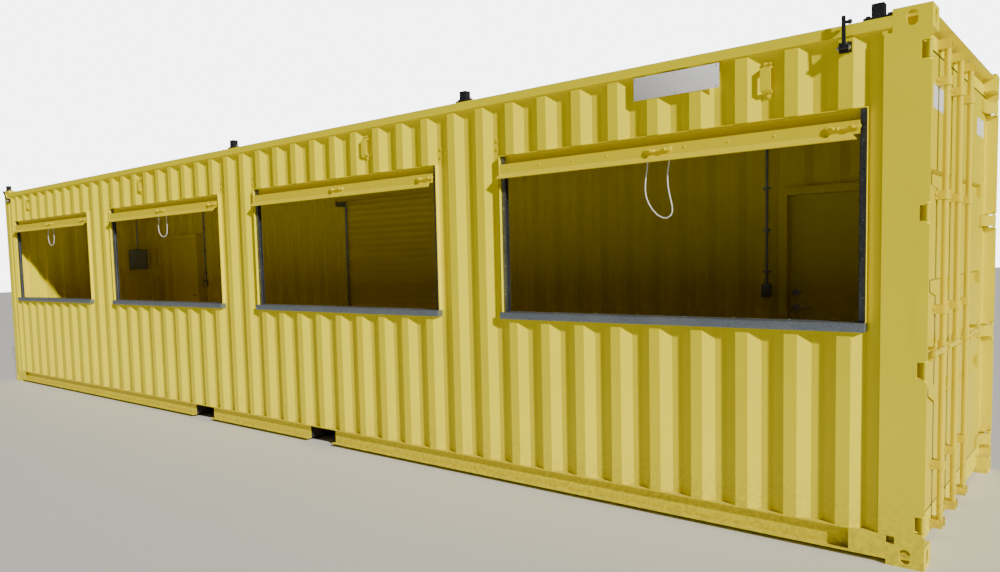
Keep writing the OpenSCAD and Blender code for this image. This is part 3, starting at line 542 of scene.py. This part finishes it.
def placed(bm, made, matrix):
    """Moves the newly made vertices by a matrix."""
    bmesh.ops.transform(bm, matrix=matrix, verts=made)


def edges_of(verts):
    """Edges that touch some vertices, each once and always in the same order."""
    return list(dict.fromkeys(e for v in verts for e in v.link_edges))


def ease_edges(bm, edges, width, segments=2):
    """Rounds edges by a small width."""
    bmesh.ops.bevel(bm, geom=edges, offset=width, offset_type="OFFSET", segments=segments,
                    profile=0.5, affect="EDGES", clamp_overlap=True, material=-1)


def block(bm, low, high, ease=0.0015, segments=2):
    """Box between two corners, with eased edges."""
    made = bmesh.ops.create_cube(bm, size=1)["verts"]
    low, high = Vector(low), Vector(high)
    placed(bm, made, Matrix.Translation((low + high) / 2) @ Matrix.Diagonal((*(high - low), 1)))
    if ease:
        ease_edges(bm, edges_of(made), ease, segments)


def towards(direction):
    """Matrix that turns Z to a direction."""
    return Vector(direction).to_track_quat("Z", "Y").to_matrix().to_4x4()


def round_bar(bm, start, end, radius, sides=20, ease=0.001, tip=None):
    """Cylinder or cone from one point to another, with eased rims."""
    start, end = Vector(start), Vector(end)
    made = bmesh.ops.create_cone(bm, cap_ends=True, cap_tris=False, segments=sides,
                                 radius1=radius, radius2=radius if tip is None else tip,
                                 depth=(end - start).length)["verts"]
    placed(bm, made, Matrix.Translation((start + end) / 2) @ towards(end - start))
    if ease:
        rims = [e for e in edges_of(made) if len(e.link_faces) == 2
                and min(len(f.verts) for f in e.link_faces) == 4
                and max(len(f.verts) for f in e.link_faces) == sides]
        ease_edges(bm, rims, ease)


def finished_piece(name, bm, finish, body="root", smooth=35):
    """Turns a bmesh into a named piece that rides on a body."""
    limit = math.radians(smooth)
    for edge in bm.edges:
        edge.smooth = len(edge.link_faces) == 2 and edge.calc_face_angle(0) < limit
    for face in bm.faces:
        face.smooth = True
    mesh = bpy.data.meshes.new(name)
    bm.to_mesh(mesh)
    bm.free()
    mesh.materials.append(finish)
    piece = bpy.data.objects.new(name, mesh)
    bpy.context.scene.collection.objects.link(piece)
    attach(piece, body)
    return piece


def fastener(kind, radius, height):
    """Mesh of a hex bolt on a washer, a domed screw or a flat rivet, up Z."""
    bm = bmesh.new()
    if kind == "hex":
        round_bar(bm, (0, 0, 0), (0, 0, height * 0.2), radius * 1.35, 16, 0.0004)
        round_bar(bm, (0, 0, height * 0.2), (0, 0, height), radius, 6, 0.0006)
    else:
        narrowing = 0.9 if kind == "rivet" else 0.72
        round_bar(bm, (0, 0, 0), (0, 0, height), radius, 14, 0, tip=radius * narrowing)
        rim = [e for e in bm.edges if all(v.co.z > height * 0.5 for v in e.verts)]
        ease_edges(bm, rim, height * 0.42, 2)
    mesh = bpy.data.meshes.new(kind)
    bm.to_mesh(mesh)
    bm.free()
    return mesh


def stamp(bm, mesh, at, direction, turn=0.0):
    """Adds a copy of a fastener at a point, facing a direction."""
    copy = mesh.copy()
    copy.transform(Matrix.Translation(at) @ towards(direction) @ Matrix.Rotation(turn, 4, "Z"))
    bm.from_mesh(copy)
    bpy.data.meshes.remove(copy)


def bolts(name, places, mesh, finish, body="root"):
    """One piece of many fasteners; a place is (point, direction)."""
    bm = bmesh.new()
    for at, direction in places:
        stamp(bm, mesh, at, direction, chance.uniform(0, math.pi))
    piece = finished_piece(name, bm, finish, body)
    print(name, len(places), "fasteners,", len(piece.data.polygons), "faces")


HEX = fastener("hex", 0.009, 0.009)
BIG_HEX = fastener("hex", 0.014, 0.013)
SCREW = fastener("dome", 0.0065, 0.004)
SMALL_SCREW = fastener("dome", 0.0042, 0.0025)
RIVET = fastener("rivet", 0.007, 0.003)
print("fastener kit ready")

# %% [markdown]
# ## Eased steel
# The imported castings, posts and fittings have knife edges, and steel never
# has. A copy of each is merged into clean faces and its edges are rounded, so
# that they catch the light. Weighted normals keep its large faces flat, and
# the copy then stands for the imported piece.

# %% Round the edges of the thick steel pieces
EASED = [
    ("lower_castings", 0.006, "root"), ("upper_castings", 0.006, "root"),
    ("door_end_posts", 0.0015, "root"), ("blind_end_posts", 0.004, "root"),
    ("top_rails", 0.004, "root"), ("door_sill", 0.003, "root"),
    ("door_header", 0.002, "root"), ("blind_end_beams", 0.002, "root"),
    ("service_door_frames", 0.002, "root"), ("counters", 0.003, "root"),
    ("roof_post_stubs", 0.0012, "root"), ("arm_brackets", 0.0015, "root"),
    ("wall_grips", 0.0015, "root"), ("shutter_latches", 0.0015, "root"),
    ("cam_keepers", 0.0015, "root"), ("electrical_panel", 0.003, "root"),
    ("rod_guides_front", 0.0015, "cargo_front"), ("rod_guides_back", 0.0015, "cargo_back"),
    ("cargo_door_front", 0.0012, "cargo_front"), ("cargo_door_back", 0.0012, "cargo_back"),
    ("lock_rod_1", 0.0015, "rod_1"), ("lock_rod_2", 0.0015, "rod_2"),
    ("lock_rod_3", 0.0015, "rod_3"),
    ("service_door_east", 0.002, "service_east"), ("service_door_west", 0.002, "service_west"),
    ("service_lock_east", 0.0015, "service_east"), ("service_lock_west", 0.0015, "service_west"),
]
MERGE_GAP = 0.00002
FLAT_ANGLE = math.radians(1.5)
SHARP_ANGLE = math.radians(32)


def eased_copy(node, width, body):
    """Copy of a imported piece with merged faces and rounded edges, in its place."""
    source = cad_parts[node].data
    bm = bmesh.new()
    bm.from_mesh(source)
    bmesh.ops.remove_doubles(bm, verts=bm.verts, dist=MERGE_GAP)
    bmesh.ops.dissolve_limit(bm, angle_limit=FLAT_ANGLE, verts=bm.verts, edges=bm.edges,
                             use_dissolve_boundaries=False)
    sharp = [e for e in bm.edges
             if len(e.link_faces) == 2 and e.calc_face_angle(0) > SHARP_ANGLE]
    ease_edges(bm, sharp, width)
    piece = finished_piece("eased_" + node, bm, source.materials[0], body,
                           smooth=40)
    piece.modifiers.new("flat_faces", "WEIGHTED_NORMAL").keep_sharp = True
    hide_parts(node)
    return piece


for node, width, body in EASED:
    eased = eased_copy(node, width, body)
    print(node, "eased,", len(eased.data.polygons), "faces")

# %% [markdown]
# ## Rolling shutters
# A shutter is a curtain of curved slats hooked into each other, wound on a
# roll. Its section is drawn once as a chain of vertices: slat after slat up
# the guides, then round the roll. Extruding that chain along X makes the
# curtain, and solidify gives the steel its thickness.

# %% Make slatted curtains on their rolls
WALL_Y = 1.211
CURTAIN_Y = 1.163
ROLL = Vector((0, 1.046, 2.575))
ROLL_R = 0.113
SLAT_STEPS = 6
SLAT_BULGE = 0.0065
ROLL_WRAPS = 1.6
ROLL_STEPS = 150


def slatted_section(low_z, slat):
    """Points (y, z) of the curtain from its lower edge up and round the roll."""
    points = []
    count = round((ROLL.z - low_z) / slat)
    for i in range(count):
        for k in range(SLAT_STEPS):
            share = k / SLAT_STEPS
            bulge = SLAT_BULGE * math.sin(math.pi * share) ** 0.8
            z = low_z + (i + share) * (ROLL.z - low_z) / count
            points.append((CURTAIN_Y - 0.002 + bulge, z))
    for i in range(ROLL_STEPS + 1):
        turn = math.tau * ROLL_WRAPS * i / ROLL_STEPS
        reach = ROLL_R - 0.010 * turn / math.tau + 0.0025 * abs(math.sin(turn * 7))
        points.append((ROLL.y + reach * math.cos(turn), ROLL.z + reach * math.sin(turn)))
    return points


def slatted_curtain(name, middle, half, low_z, slat, side, finish):
    """Curtain and roll of one shutter; side is -1 at the front and 1 at the back."""
    bm = bmesh.new()
    chain = [bm.verts.new((middle - half, side * y, z)) for y, z in slatted_section(low_z, slat)]
    links = [bm.edges.new(pair) for pair in zip(chain, chain[1:])]
    grown = bmesh.ops.extrude_edge_only(bm, edges=links)["geom"]
    moved = [v for v in grown if isinstance(v, bmesh.types.BMVert)]
    bmesh.ops.translate(bm, vec=(2 * half, 0, 0), verts=moved)
    bmesh.ops.recalc_face_normals(bm, faces=bm.faces)
    bmesh.ops.solidify(bm, geom=list(bm.faces), thickness=0.0014)
    for end in (-1, 1):
        centre = Vector((middle, side * ROLL.y, ROLL.z))
        round_bar(bm, centre + Vector((end * (half - 0.004), 0, 0)),
                  centre + Vector((end * half, 0, 0)), ROLL_R - 0.012, 40)
        round_bar(bm, centre + Vector((end * half, 0, 0)),
                  centre + Vector((end * (half + 0.0035), 0, 0)), 0.021, 24, 0)
    piece = finished_piece(name, bm, finish, smooth=50)
    print(name, len(piece.data.polygons), "faces")
    return piece


WINDOWS = [-4.587, -1.529, 1.529, 4.587]
HALF_WINDOW = 1.219
ROLL_DOOR_X = 0.205
HALF_ROLL_DOOR = 1.212
FOOT_LOW, FOOT_TOP = 0.196, 0.243
FOOT_FACES = (1.150, 1.176)
curtains = [slatted_curtain(f"slatted_curtain_{i + 1}", x, 1.207, 2.299, 0.058, -1,
                            shutter_paint) for i, x in enumerate(WINDOWS)]
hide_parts("shutter_curtains")
back_curtain = slatted_curtain("slatted_back_door", ROLL_DOOR_X, HALF_ROLL_DOOR, FOOT_TOP,
                               0.0777, 1, shutter_paint)
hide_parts("back_shutter")

foot = bmesh.new()
block(foot, (ROLL_DOOR_X - HALF_ROLL_DOOR, FOOT_FACES[0], FOOT_LOW),
      (ROLL_DOOR_X + HALF_ROLL_DOOR, FOOT_FACES[1], FOOT_TOP), 0.003)
for y in FOOT_FACES:
    block(foot, (ROLL_DOOR_X - 1.18, y - 0.0012, 0.212),
          (ROLL_DOOR_X + 1.18, y + 0.0012, 0.227), 0.0006, 1)
finished_piece("back_door_foot_bar", foot, shutter_paint)
foot_seal = bmesh.new()
block(foot_seal, (ROLL_DOOR_X - 1.208, 1.153, 0.1805),
      (ROLL_DOOR_X + 1.208, 1.173, FOOT_LOW), 0.004, 3)
finished_piece("back_door_foot_seal", foot_seal, rubber)

# %% [markdown]
# ## Bottom bars: screws and slide bolts
# Each serving shutter's flat strip is screwed to the curtain about every
# quarter of a metre, and a slide bolt with two keepers sits at its middle and
# near its right end.

# %% Fit screws and slide bolts to the bottom bars
FRONT = (0, -1, 0)
STRIP_Y = -1.206
SLIDE_Z = 2.332
SLIDE_SHIFTS = (0.036, 1.100)
strip_places = []
for x in WINDOWS:
    strip_places += [((x - 1.13 + 0.2675 * k, STRIP_Y, 2.333), FRONT) for k in range(9)]
bolts("strip_screws", strip_places, SCREW, shutter_paint)

bolt_details = bmesh.new()
for x in WINDOWS:
    for shift in SLIDE_SHIFTS:
        centre = x + shift
        for end in (-1, 1):
            round_bar(bolt_details, (centre + end * 0.075, -1.2165, SLIDE_Z),
                      (centre + end * 0.075, -1.2195, SLIDE_Z), 0.0085, 18, 0.001)
            round_bar(bolt_details, (centre + end * 0.042, -1.2205, SLIDE_Z),
                      (centre + end * 0.057, -1.2205, SLIDE_Z), 0.0095, 16, 0.0015)
        knob_x = centre - 0.02
        round_bar(bolt_details, (knob_x, -1.220, SLIDE_Z), (knob_x, -1.236, SLIDE_Z - 0.005),
                  0.0055, 14, 0.001)
        made = bmesh.ops.create_uvsphere(bolt_details, u_segments=14, v_segments=8,
                                         radius=0.009)["verts"]
        placed(bolt_details, made, Matrix.Translation((knob_x, -1.239, SLIDE_Z - 0.006)))
finished_piece("slide_bolt_details", bolt_details, shutter_paint)

# %% [markdown]
# ## Bolts on the wall fittings
# The grip straps, arm brackets and post stubs are bolted on, and pairs of
# bolts beside each opening hold the end plates of the rolls.

# %% Bolt on the straps, brackets, stubs and end plates
UP = (0, 0, 1)
FOLD_PITCH = 0.278
GRIPS_X = (-5.282, -1.946, 1.946, 5.282)
ARMS_X = (-5.918, 5.697)
ARM_Y, ARM_Z, ARM_REACH = -1.245, 2.740, 0.130
grip_places = []
for x in GRIPS_X:
    grip_places += [((x - 0.016, -1.180, 2.744), FRONT), ((x + 0.016, -1.180, 2.744), FRONT),
                    ((x, -1.180, 2.564), FRONT)]
bolts("grip_bolts", grip_places, HEX, hardware_paint)

plate_places = []
for x in WINDOWS:
    for edge in (-HALF_WINDOW - 0.033, HALF_WINDOW + 0.033):
        if abs(x + edge) < 5.82:
            in_fold = abs(((x + edge) / FOLD_PITCH) % 1 - 0.5) > 0.38
            depth = -1.176 if in_fold else -WALL_Y
            plate_places += [((x + edge, depth, z), FRONT) for z in (2.545, 2.485)]
bolts("end_plate_bolts", plate_places, HEX, hardware_paint)

stub_places = []
for x, z in ((-5.990, 2.906), (0.0, 2.877), (3.051, 2.877), (5.849, 2.877)):
    stub_places += [((x - 0.052, -1.189, z), UP), ((x + 0.052, -1.189, z), UP)]
bolts("stub_bolts", stub_places, BIG_HEX, zinc_bolt)

arm_places = []
for x in ARMS_X:
    arm_places += [((x + 0.0245, ARM_Y, ARM_Z), (1, 0, 0)),
                   ((x - 0.0245, ARM_Y, ARM_Z), (-1, 0, 0)),
                   ((x, -1.217, 2.765), FRONT)]
bolts("arm_bolts", arm_places, HEX, zinc_bolt)

knobs = bmesh.new()
for x, lean in zip(ARMS_X, (20, 3)):
    turn = math.radians(lean)
    z = ARM_Z + ARM_REACH * math.cos(turn)
    y = ARM_Y - ARM_REACH * math.sin(turn)
    made = bmesh.ops.create_uvsphere(knobs, u_segments=18, v_segments=10, radius=0.013)["verts"]
    placed(knobs, made, Matrix.Translation((x + 0.030, y, z)))
finished_piece("arm_knobs", knobs, black_paint)

# %% [markdown]
# ## Weld beads
# The walls, posts and castings are joined by welds. A bead is a small ring
# drawn along the seam in short steps, a little thicker and thinner each time,
# as a welder's hand leaves it.

# %% Run the weld beads


def weld_bead(bm, start, end, radius, step=0.009):
    """Rippled bead from one point to another."""
    start, end = Vector(start), Vector(end)
    length = (end - start).length
    steps = max(4, round(length / step))
    ring = bmesh.ops.create_circle(bm, cap_ends=False, segments=6, radius=radius)["verts"]
    placed(bm, ring, Matrix.Translation(start) @ towards(end - start))
    rims = edges_of(ring)
    bmesh.ops.contextual_create(bm, geom=rims)
    forward = (end - start) / steps
    swell = 1.0
    for i in range(steps):
        grown = bmesh.ops.extrude_edge_only(bm, edges=rims)["geom"]
        moved = [g for g in grown if isinstance(g, bmesh.types.BMVert)]
        rims = [g for g in grown if isinstance(g, bmesh.types.BMEdge)
                and all(v in moved for v in g.verts)]
        bmesh.ops.translate(bm, vec=forward, verts=moved)
        centre = start + forward * (i + 1)
        size = chance.uniform(0.8, 1.15) / swell
        swell *= size
        spot = Matrix.Translation(centre)
        placed(bm, moved, spot @ Matrix.Diagonal((size, size, size, 1)) @ spot.inverted())
    bmesh.ops.contextual_create(bm, geom=rims)


CASTING_SEAMS = (0.1185, 2.7775)
beads = bmesh.new()
for side in (-1, 1):
    wall_y, casting_y, roof_y = side * 1.2115, side * 1.2165, side * 1.1895
    for end in (-1, 1):
        seam_x = 5.8785 if end > 0 else -5.955
        weld_bead(beads, (seam_x, wall_y, 0.165), (seam_x, wall_y, 2.776), 0.0035, 0.014)
        for z in CASTING_SEAMS:
            weld_bead(beads, (end * 5.960, casting_y, z), (end * 6.090, casting_y, z), 0.0030)
        weld_bead(beads, (end * 5.9185, casting_y, 2.807), (end * 5.9185, casting_y, 2.863),
                  0.0030)
    weld_bead(beads, (-5.915, roof_y, 2.8665), (5.915, roof_y, 2.8665), 0.0028, 0.03)
bmesh.ops.recalc_face_normals(beads, faces=beads.faces)
bead_piece = finished_piece("weld_beads", beads, frame_paint, smooth=70)
print("weld beads", len(bead_piece.data.polygons), "faces")

# %% [markdown]
# ## Cargo door fittings
# Rod brackets are bolted on, each handle ends in a rounded grip, and a latch
# plate with a catch holds it. Two white sheets, left blank, mark where a
# container carries its labels.

# %% Fit the cargo doors' brackets, grips and label sheets
DOOR_FACE = 6.020
LATCH_FACE = DOOR_FACE + 0.004
ROD_PLACES = {"cargo_front": (-0.605, -0.183), "cargo_back": (0.183,)}
ROD_X = 6.064
GUIDE_ZS = (0.430, 1.330, 1.975, 2.605)
OUT = (1, 0, 0)
for body, places in ROD_PLACES.items():
    side = -1 if body == "cargo_front" else 1
    spots = [((DOOR_FACE + 0.006, y + step, z), OUT)
             for y in places for z in GUIDE_ZS for step in (-0.040, 0.040)]
    bolts("bracket_bolts_" + body, spots, HEX, hardware_paint, body)
    fittings = bmesh.new()
    for y in places:
        catch_y = y + side * 0.335
        block(fittings, (DOOR_FACE, catch_y - 0.045, 1.035),
              (LATCH_FACE, catch_y + 0.045, 1.185), 0.001)
        block(fittings, (LATCH_FACE, catch_y - 0.006, 1.128),
              (DOOR_FACE + 0.070, catch_y + 0.006, 1.150), 0.002)
        block(fittings, (DOOR_FACE + 0.062, catch_y - 0.022, 1.146),
              (DOOR_FACE + 0.068, catch_y + 0.022, 1.176), 0.002)
        for z in (1.050, 1.170):
            stamp(fittings, RIVET, (LATCH_FACE, catch_y, z), OUT)
    finished_piece("handle_catches_" + body, fittings, hardware_paint, body)

grips = {"rod_1": (-0.605, -1), "rod_2": (-0.183, -1), "rod_3": (0.183, 1)}
for body, (y, side) in grips.items():
    form = bmesh.new()
    round_bar(form, (ROD_X + 0.016, y + side * 0.205, 1.110),
              (ROD_X + 0.016, y + side * 0.366, 1.110), 0.0155, 20, 0.005)
    for z in (1.092, 1.128):
        stamp(form, HEX, (ROD_X + 0.0225, y, z), OUT)
    for z in (0.088, 2.801):
        block(form, (ROD_X - 0.014, y - 0.020, z - 0.006),
              (ROD_X + 0.006, y + 0.020, z + 0.006), 0.002)
    finished_piece("rod_fittings_" + body, form, hardware_paint, body)

labels = {"cargo_front": (-0.735, -0.400, 2.450, 2.578),
          "cargo_back": (0.800, 1.100, 2.455, 2.575)}
for body, (y0, y1, z0, z1) in labels.items():
    sheet_form = bmesh.new()
    block(sheet_form, (DOOR_FACE + 0.0002, y0, z0), (DOOR_FACE + 0.0008, y1, z1),
          0.0002, 1)
    finished_piece("blank_label_" + body, sheet_form, vinyl, body)

PIN_X, PIN_Y = 6.082, 1.205
HINGE_ZS = (0.2380, 1.0505, 1.8602, 2.6720)
pins = bmesh.new()
for side in (-1, 1):
    for z in HINGE_ZS:
        for end in (-1, 1):
            round_bar(pins, (PIN_X, side * PIN_Y, z + end * 0.0565),
                      (PIN_X, side * PIN_Y, z + end * 0.0615), 0.0105, 20, 0.0015)
finished_piece("hinge_pin_heads", pins, pin_steel)

# %% [markdown]
# ## Sign sheet
# A plain sheet is fixed over two folds of the wall above the last opening,
# with nothing written on it.

# %% Rivet on the blank sign sheet
sign = bmesh.new()
block(sign, (4.462, -1.2138, 2.655), (5.014, -1.2112, 2.796), 0.001, 2)
finished_piece("blank_sign", sign, vinyl)
rivets = [((x, -1.2138, z), FRONT) for x in (4.476, 4.738, 5.000) for z in (2.668, 2.783)]
bolts("sign_rivets", rivets, SMALL_SCREW, zinc_bolt)

# %% [markdown]
# ## Service doors and electrics
# A service door has a brushed threshold, screws in its hinges and keyholes in
# its locks. The electrical cabinet has a door seam, hinges and a latch, and
# clamps hold the conduits to the wall.

# %% Fit the doors' small parts and the electrics
SERVICE_X = 5.105
SILL_TOP = 0.186
LOCK_Z = 1.325
BACK = (0, 1, 0)
sills = bmesh.new()
for x in (-SERVICE_X, SERVICE_X):
    block(sills, (x - 0.464, 1.080, 0.1802), (x + 0.464, 1.219, SILL_TOP), 0.001)
    for k in range(5):
        y = 1.100 + 0.024 * k
        block(sills, (x - 0.460, y, SILL_TOP), (x + 0.460, y + 0.006, 0.1872), 0.0004, 1)
finished_piece("door_thresholds", sills, satin_nickel)

hinge_places = []
for side in (-1, 1):
    for share in (0.12, 0.5, 0.88):
        z = 0.180 + share * 1.980
        hinge_places += [((side * 5.582, 1.224, z + dz), BACK)
                         for dz in (-0.040, -0.026, 0.026, 0.040)]
bolts("hinge_screws", hinge_places, SMALL_SCREW, zinc_bolt)

for body, side in (("service_east", 1), ("service_west", -1)):
    keys = bmesh.new()
    x = side * (SERVICE_X - 0.400)
    for out, y in ((1, 1.2465), (-1, 1.1420)):
        round_bar(keys, (x, y, LOCK_Z), (x, y + out * 0.002, LOCK_Z), 0.0075, 20, 0.0006)
        near, far = sorted((y, y + out * 0.0027))
        block(keys, (x - 0.0012, near, LOCK_Z - 0.005), (x + 0.0012, far, LOCK_Z + 0.005), 0)
    finished_piece("lock_faces_" + body, keys, pin_steel, body)

cabinet = bmesh.new()
low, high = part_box("electrical_panel")
block(cabinet, (high.x + 0.0002, low.y + 0.012, low.z + 0.012),
      (high.x + 0.009, high.y - 0.012, high.z - 0.012), 0.003, 3)
for z in (low.z + 0.06, high.z - 0.06):
    round_bar(cabinet, (high.x + 0.006, low.y + 0.006, z - 0.02),
              (high.x + 0.006, low.y + 0.006, z + 0.02), 0.006, 16, 0.001)
finished_piece("cabinet_door", cabinet, enamel)
latches = bmesh.new()
latch_y, middle_z = high.y - 0.035, (low.z + high.z) / 2
pipe_x, pipe_y = low.x + 0.05, (low.y + high.y) / 2
round_bar(latches, (high.x + 0.009, latch_y, middle_z), (high.x + 0.016, latch_y, middle_z),
          0.013, 24, 0.002)
block(latches, (high.x + 0.015, latch_y - 0.004, middle_z - 0.018),
      (high.x + 0.020, latch_y + 0.004, middle_z + 0.018), 0.0015)
round_bar(latches, (pipe_x, pipe_y, high.z), (pipe_x, pipe_y, 2.790), 0.0125, 20, 0.001)
round_bar(latches, (pipe_x, pipe_y, high.z), (pipe_x, pipe_y, high.z + 0.02), 0.02, 6, 0.001)
finished_piece("cabinet_latch_and_pipe", latches, galvanised)

clamps = bmesh.new()
for x, z in ((-4.480, 1.403), (4.460, 1.341)):
    for k in range(4):
        clamp_z = z + 0.16 + 0.36 * k
        block(clamps, (x - 0.032, 1.1705, clamp_z - 0.008),
              (x + 0.032, 1.1728, clamp_z + 0.008), 0.0006, 1)
        block(clamps, (x - 0.0135, 1.1485, clamp_z - 0.008),
              (x + 0.0135, 1.1728, clamp_z + 0.008), 0.003, 2)
        for end in (-1, 1):
            stamp(clamps, SMALL_SCREW, (x + end * 0.024, 1.1705, clamp_z), FRONT)
    block(clamps, (x - 0.031, 1.1262, z - 0.052), (x + 0.031, 1.1282, z + 0.052), 0.001)
    for dz in (-0.040, 0.040):
        stamp(clamps, SCREW, (x, 1.1262, z + dz), FRONT)
finished_piece("conduit_clamps", clamps, galvanised)
print("small parts fitted")

# %% [markdown]
# ## Guides and counters
# Screws hold the guides to the jambs and pin the counters down. Rubber strips
# line the lip of each guide and close its joint with the wall.

# %% Screw down the guides and the counters
STRIP_FOOT = 1.292
guide_places = []
counter_places = []
brushes = bmesh.new()
for x in WINDOWS:
    for end in (-1, 1):
        for k in range(5):
            guide_places.append(((x + end * 1.197, -1.1870, 1.42 + 0.21 * k), FRONT))
        lip_x, jamb_x = x + end * 1.1795, x + end * 1.2165
        block(brushes, (lip_x - 0.0025, -1.1865, STRIP_FOOT),
              (lip_x + 0.0025, -1.1755, 2.292), 0.001, 1)
        block(brushes, (jamb_x - 0.0020, -1.2125, STRIP_FOOT),
              (jamb_x + 0.0020, -1.2105, 2.420), 0.0005, 1)
    for k in range(8):
        counter_places.append(((x - 1.12 + 0.32 * k, -1.128, 1.290), UP))
bolts("guide_screws", guide_places, SMALL_SCREW, zinc_bolt)
bolts("counter_screws", counter_places, SCREW, zinc_bolt)
finished_piece("guide_strips", brushes, rubber)
back_holes = []
for side in (-1, 1):
    for face_y, direction in ((1.1450, FRONT), (1.1870, BACK)):
        back_holes += [((ROLL_DOOR_X + side * 1.202, face_y, 0.26 + 0.072 * k), direction)
                       for k in range(30)]
bolts("back_guide_rivets", back_holes, SMALL_SCREW, pin_steel)
total = sum(len(p.data.polygons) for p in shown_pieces() if p.type == "MESH")
print("about", total, "faces in all")

# %% [markdown]
# ## Studio
# A sun lamp gives nearly all the light. It stands low and beyond the cargo
# doors, so that it rakes along the serving wall and shades every second fold.
# The plain pale floor throws some of it back and keeps the shadows open. The
# sky is near white behind the cabin but lights it only a little.

# %% Lay the floor and light the stand
HALF_FLOOR = 60
SKY_LIGHT, SKY_SHOWN = 0.07, 6.0
SUN_STRENGTH, SUN_SPREAD = 5.2, math.radians(2.5)
TOWARDS_SUN = Vector((2.78, -1.0, 1.39))
floor_form = bmesh.new()
bmesh.ops.create_grid(floor_form, x_segments=2, y_segments=2, size=HALF_FLOOR)
floor_mesh = bpy.data.meshes.new("studio_floor")
floor_form.to_mesh(floor_mesh)
floor_form.free()
studio_floor = bpy.data.objects.new("studio_floor", floor_mesh)
bpy.context.scene.collection.objects.link(studio_floor)
pale = Finish("pale_floor")
looks = pale.mixed(pale.noise(0.4, 3), (0.80, 0.80, 0.79), (0.84, 0.84, 0.83))
floor_mesh.materials.append(pale.done(looks, 0.75))
studio_floor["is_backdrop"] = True

sky = bpy.data.worlds.new("sky")
sky.use_nodes = True
lighting = sky.node_tree.nodes["Background"]
lighting.inputs[0].default_value = (0.93, 0.96, 1.0, 1)
lighting.inputs[1].default_value = SKY_LIGHT
seen_sky = sky.node_tree.nodes.new("ShaderNodeBackground")
seen_sky.inputs[0].default_value = (0.94, 0.96, 1.0, 1)
seen_sky.inputs[1].default_value = SKY_SHOWN
eye = sky.node_tree.nodes.new("ShaderNodeLightPath")
either = sky.node_tree.nodes.new("ShaderNodeMixShader")
sky.node_tree.links.new(eye.outputs["Is Camera Ray"], either.inputs[0])
sky.node_tree.links.new(lighting.outputs[0], either.inputs[1])
sky.node_tree.links.new(seen_sky.outputs[0], either.inputs[2])
sky.node_tree.links.new(either.outputs[0], sky.node_tree.nodes["World Output"].inputs[0])
bpy.context.scene.world = sky

sun_data = bpy.data.lights.new("soft_sun", "SUN")
sun_data.energy = SUN_STRENGTH
sun_data.angle = SUN_SPREAD
sun_data.color = (1.0, 0.97, 0.90)
sun = bpy.data.objects.new("soft_sun", sun_data)
bpy.context.scene.collection.objects.link(sun)
sun.rotation_euler = TOWARDS_SUN.to_track_quat("Z", "Y").to_euler()
print("lit by", sky.name, "and", sun.name)
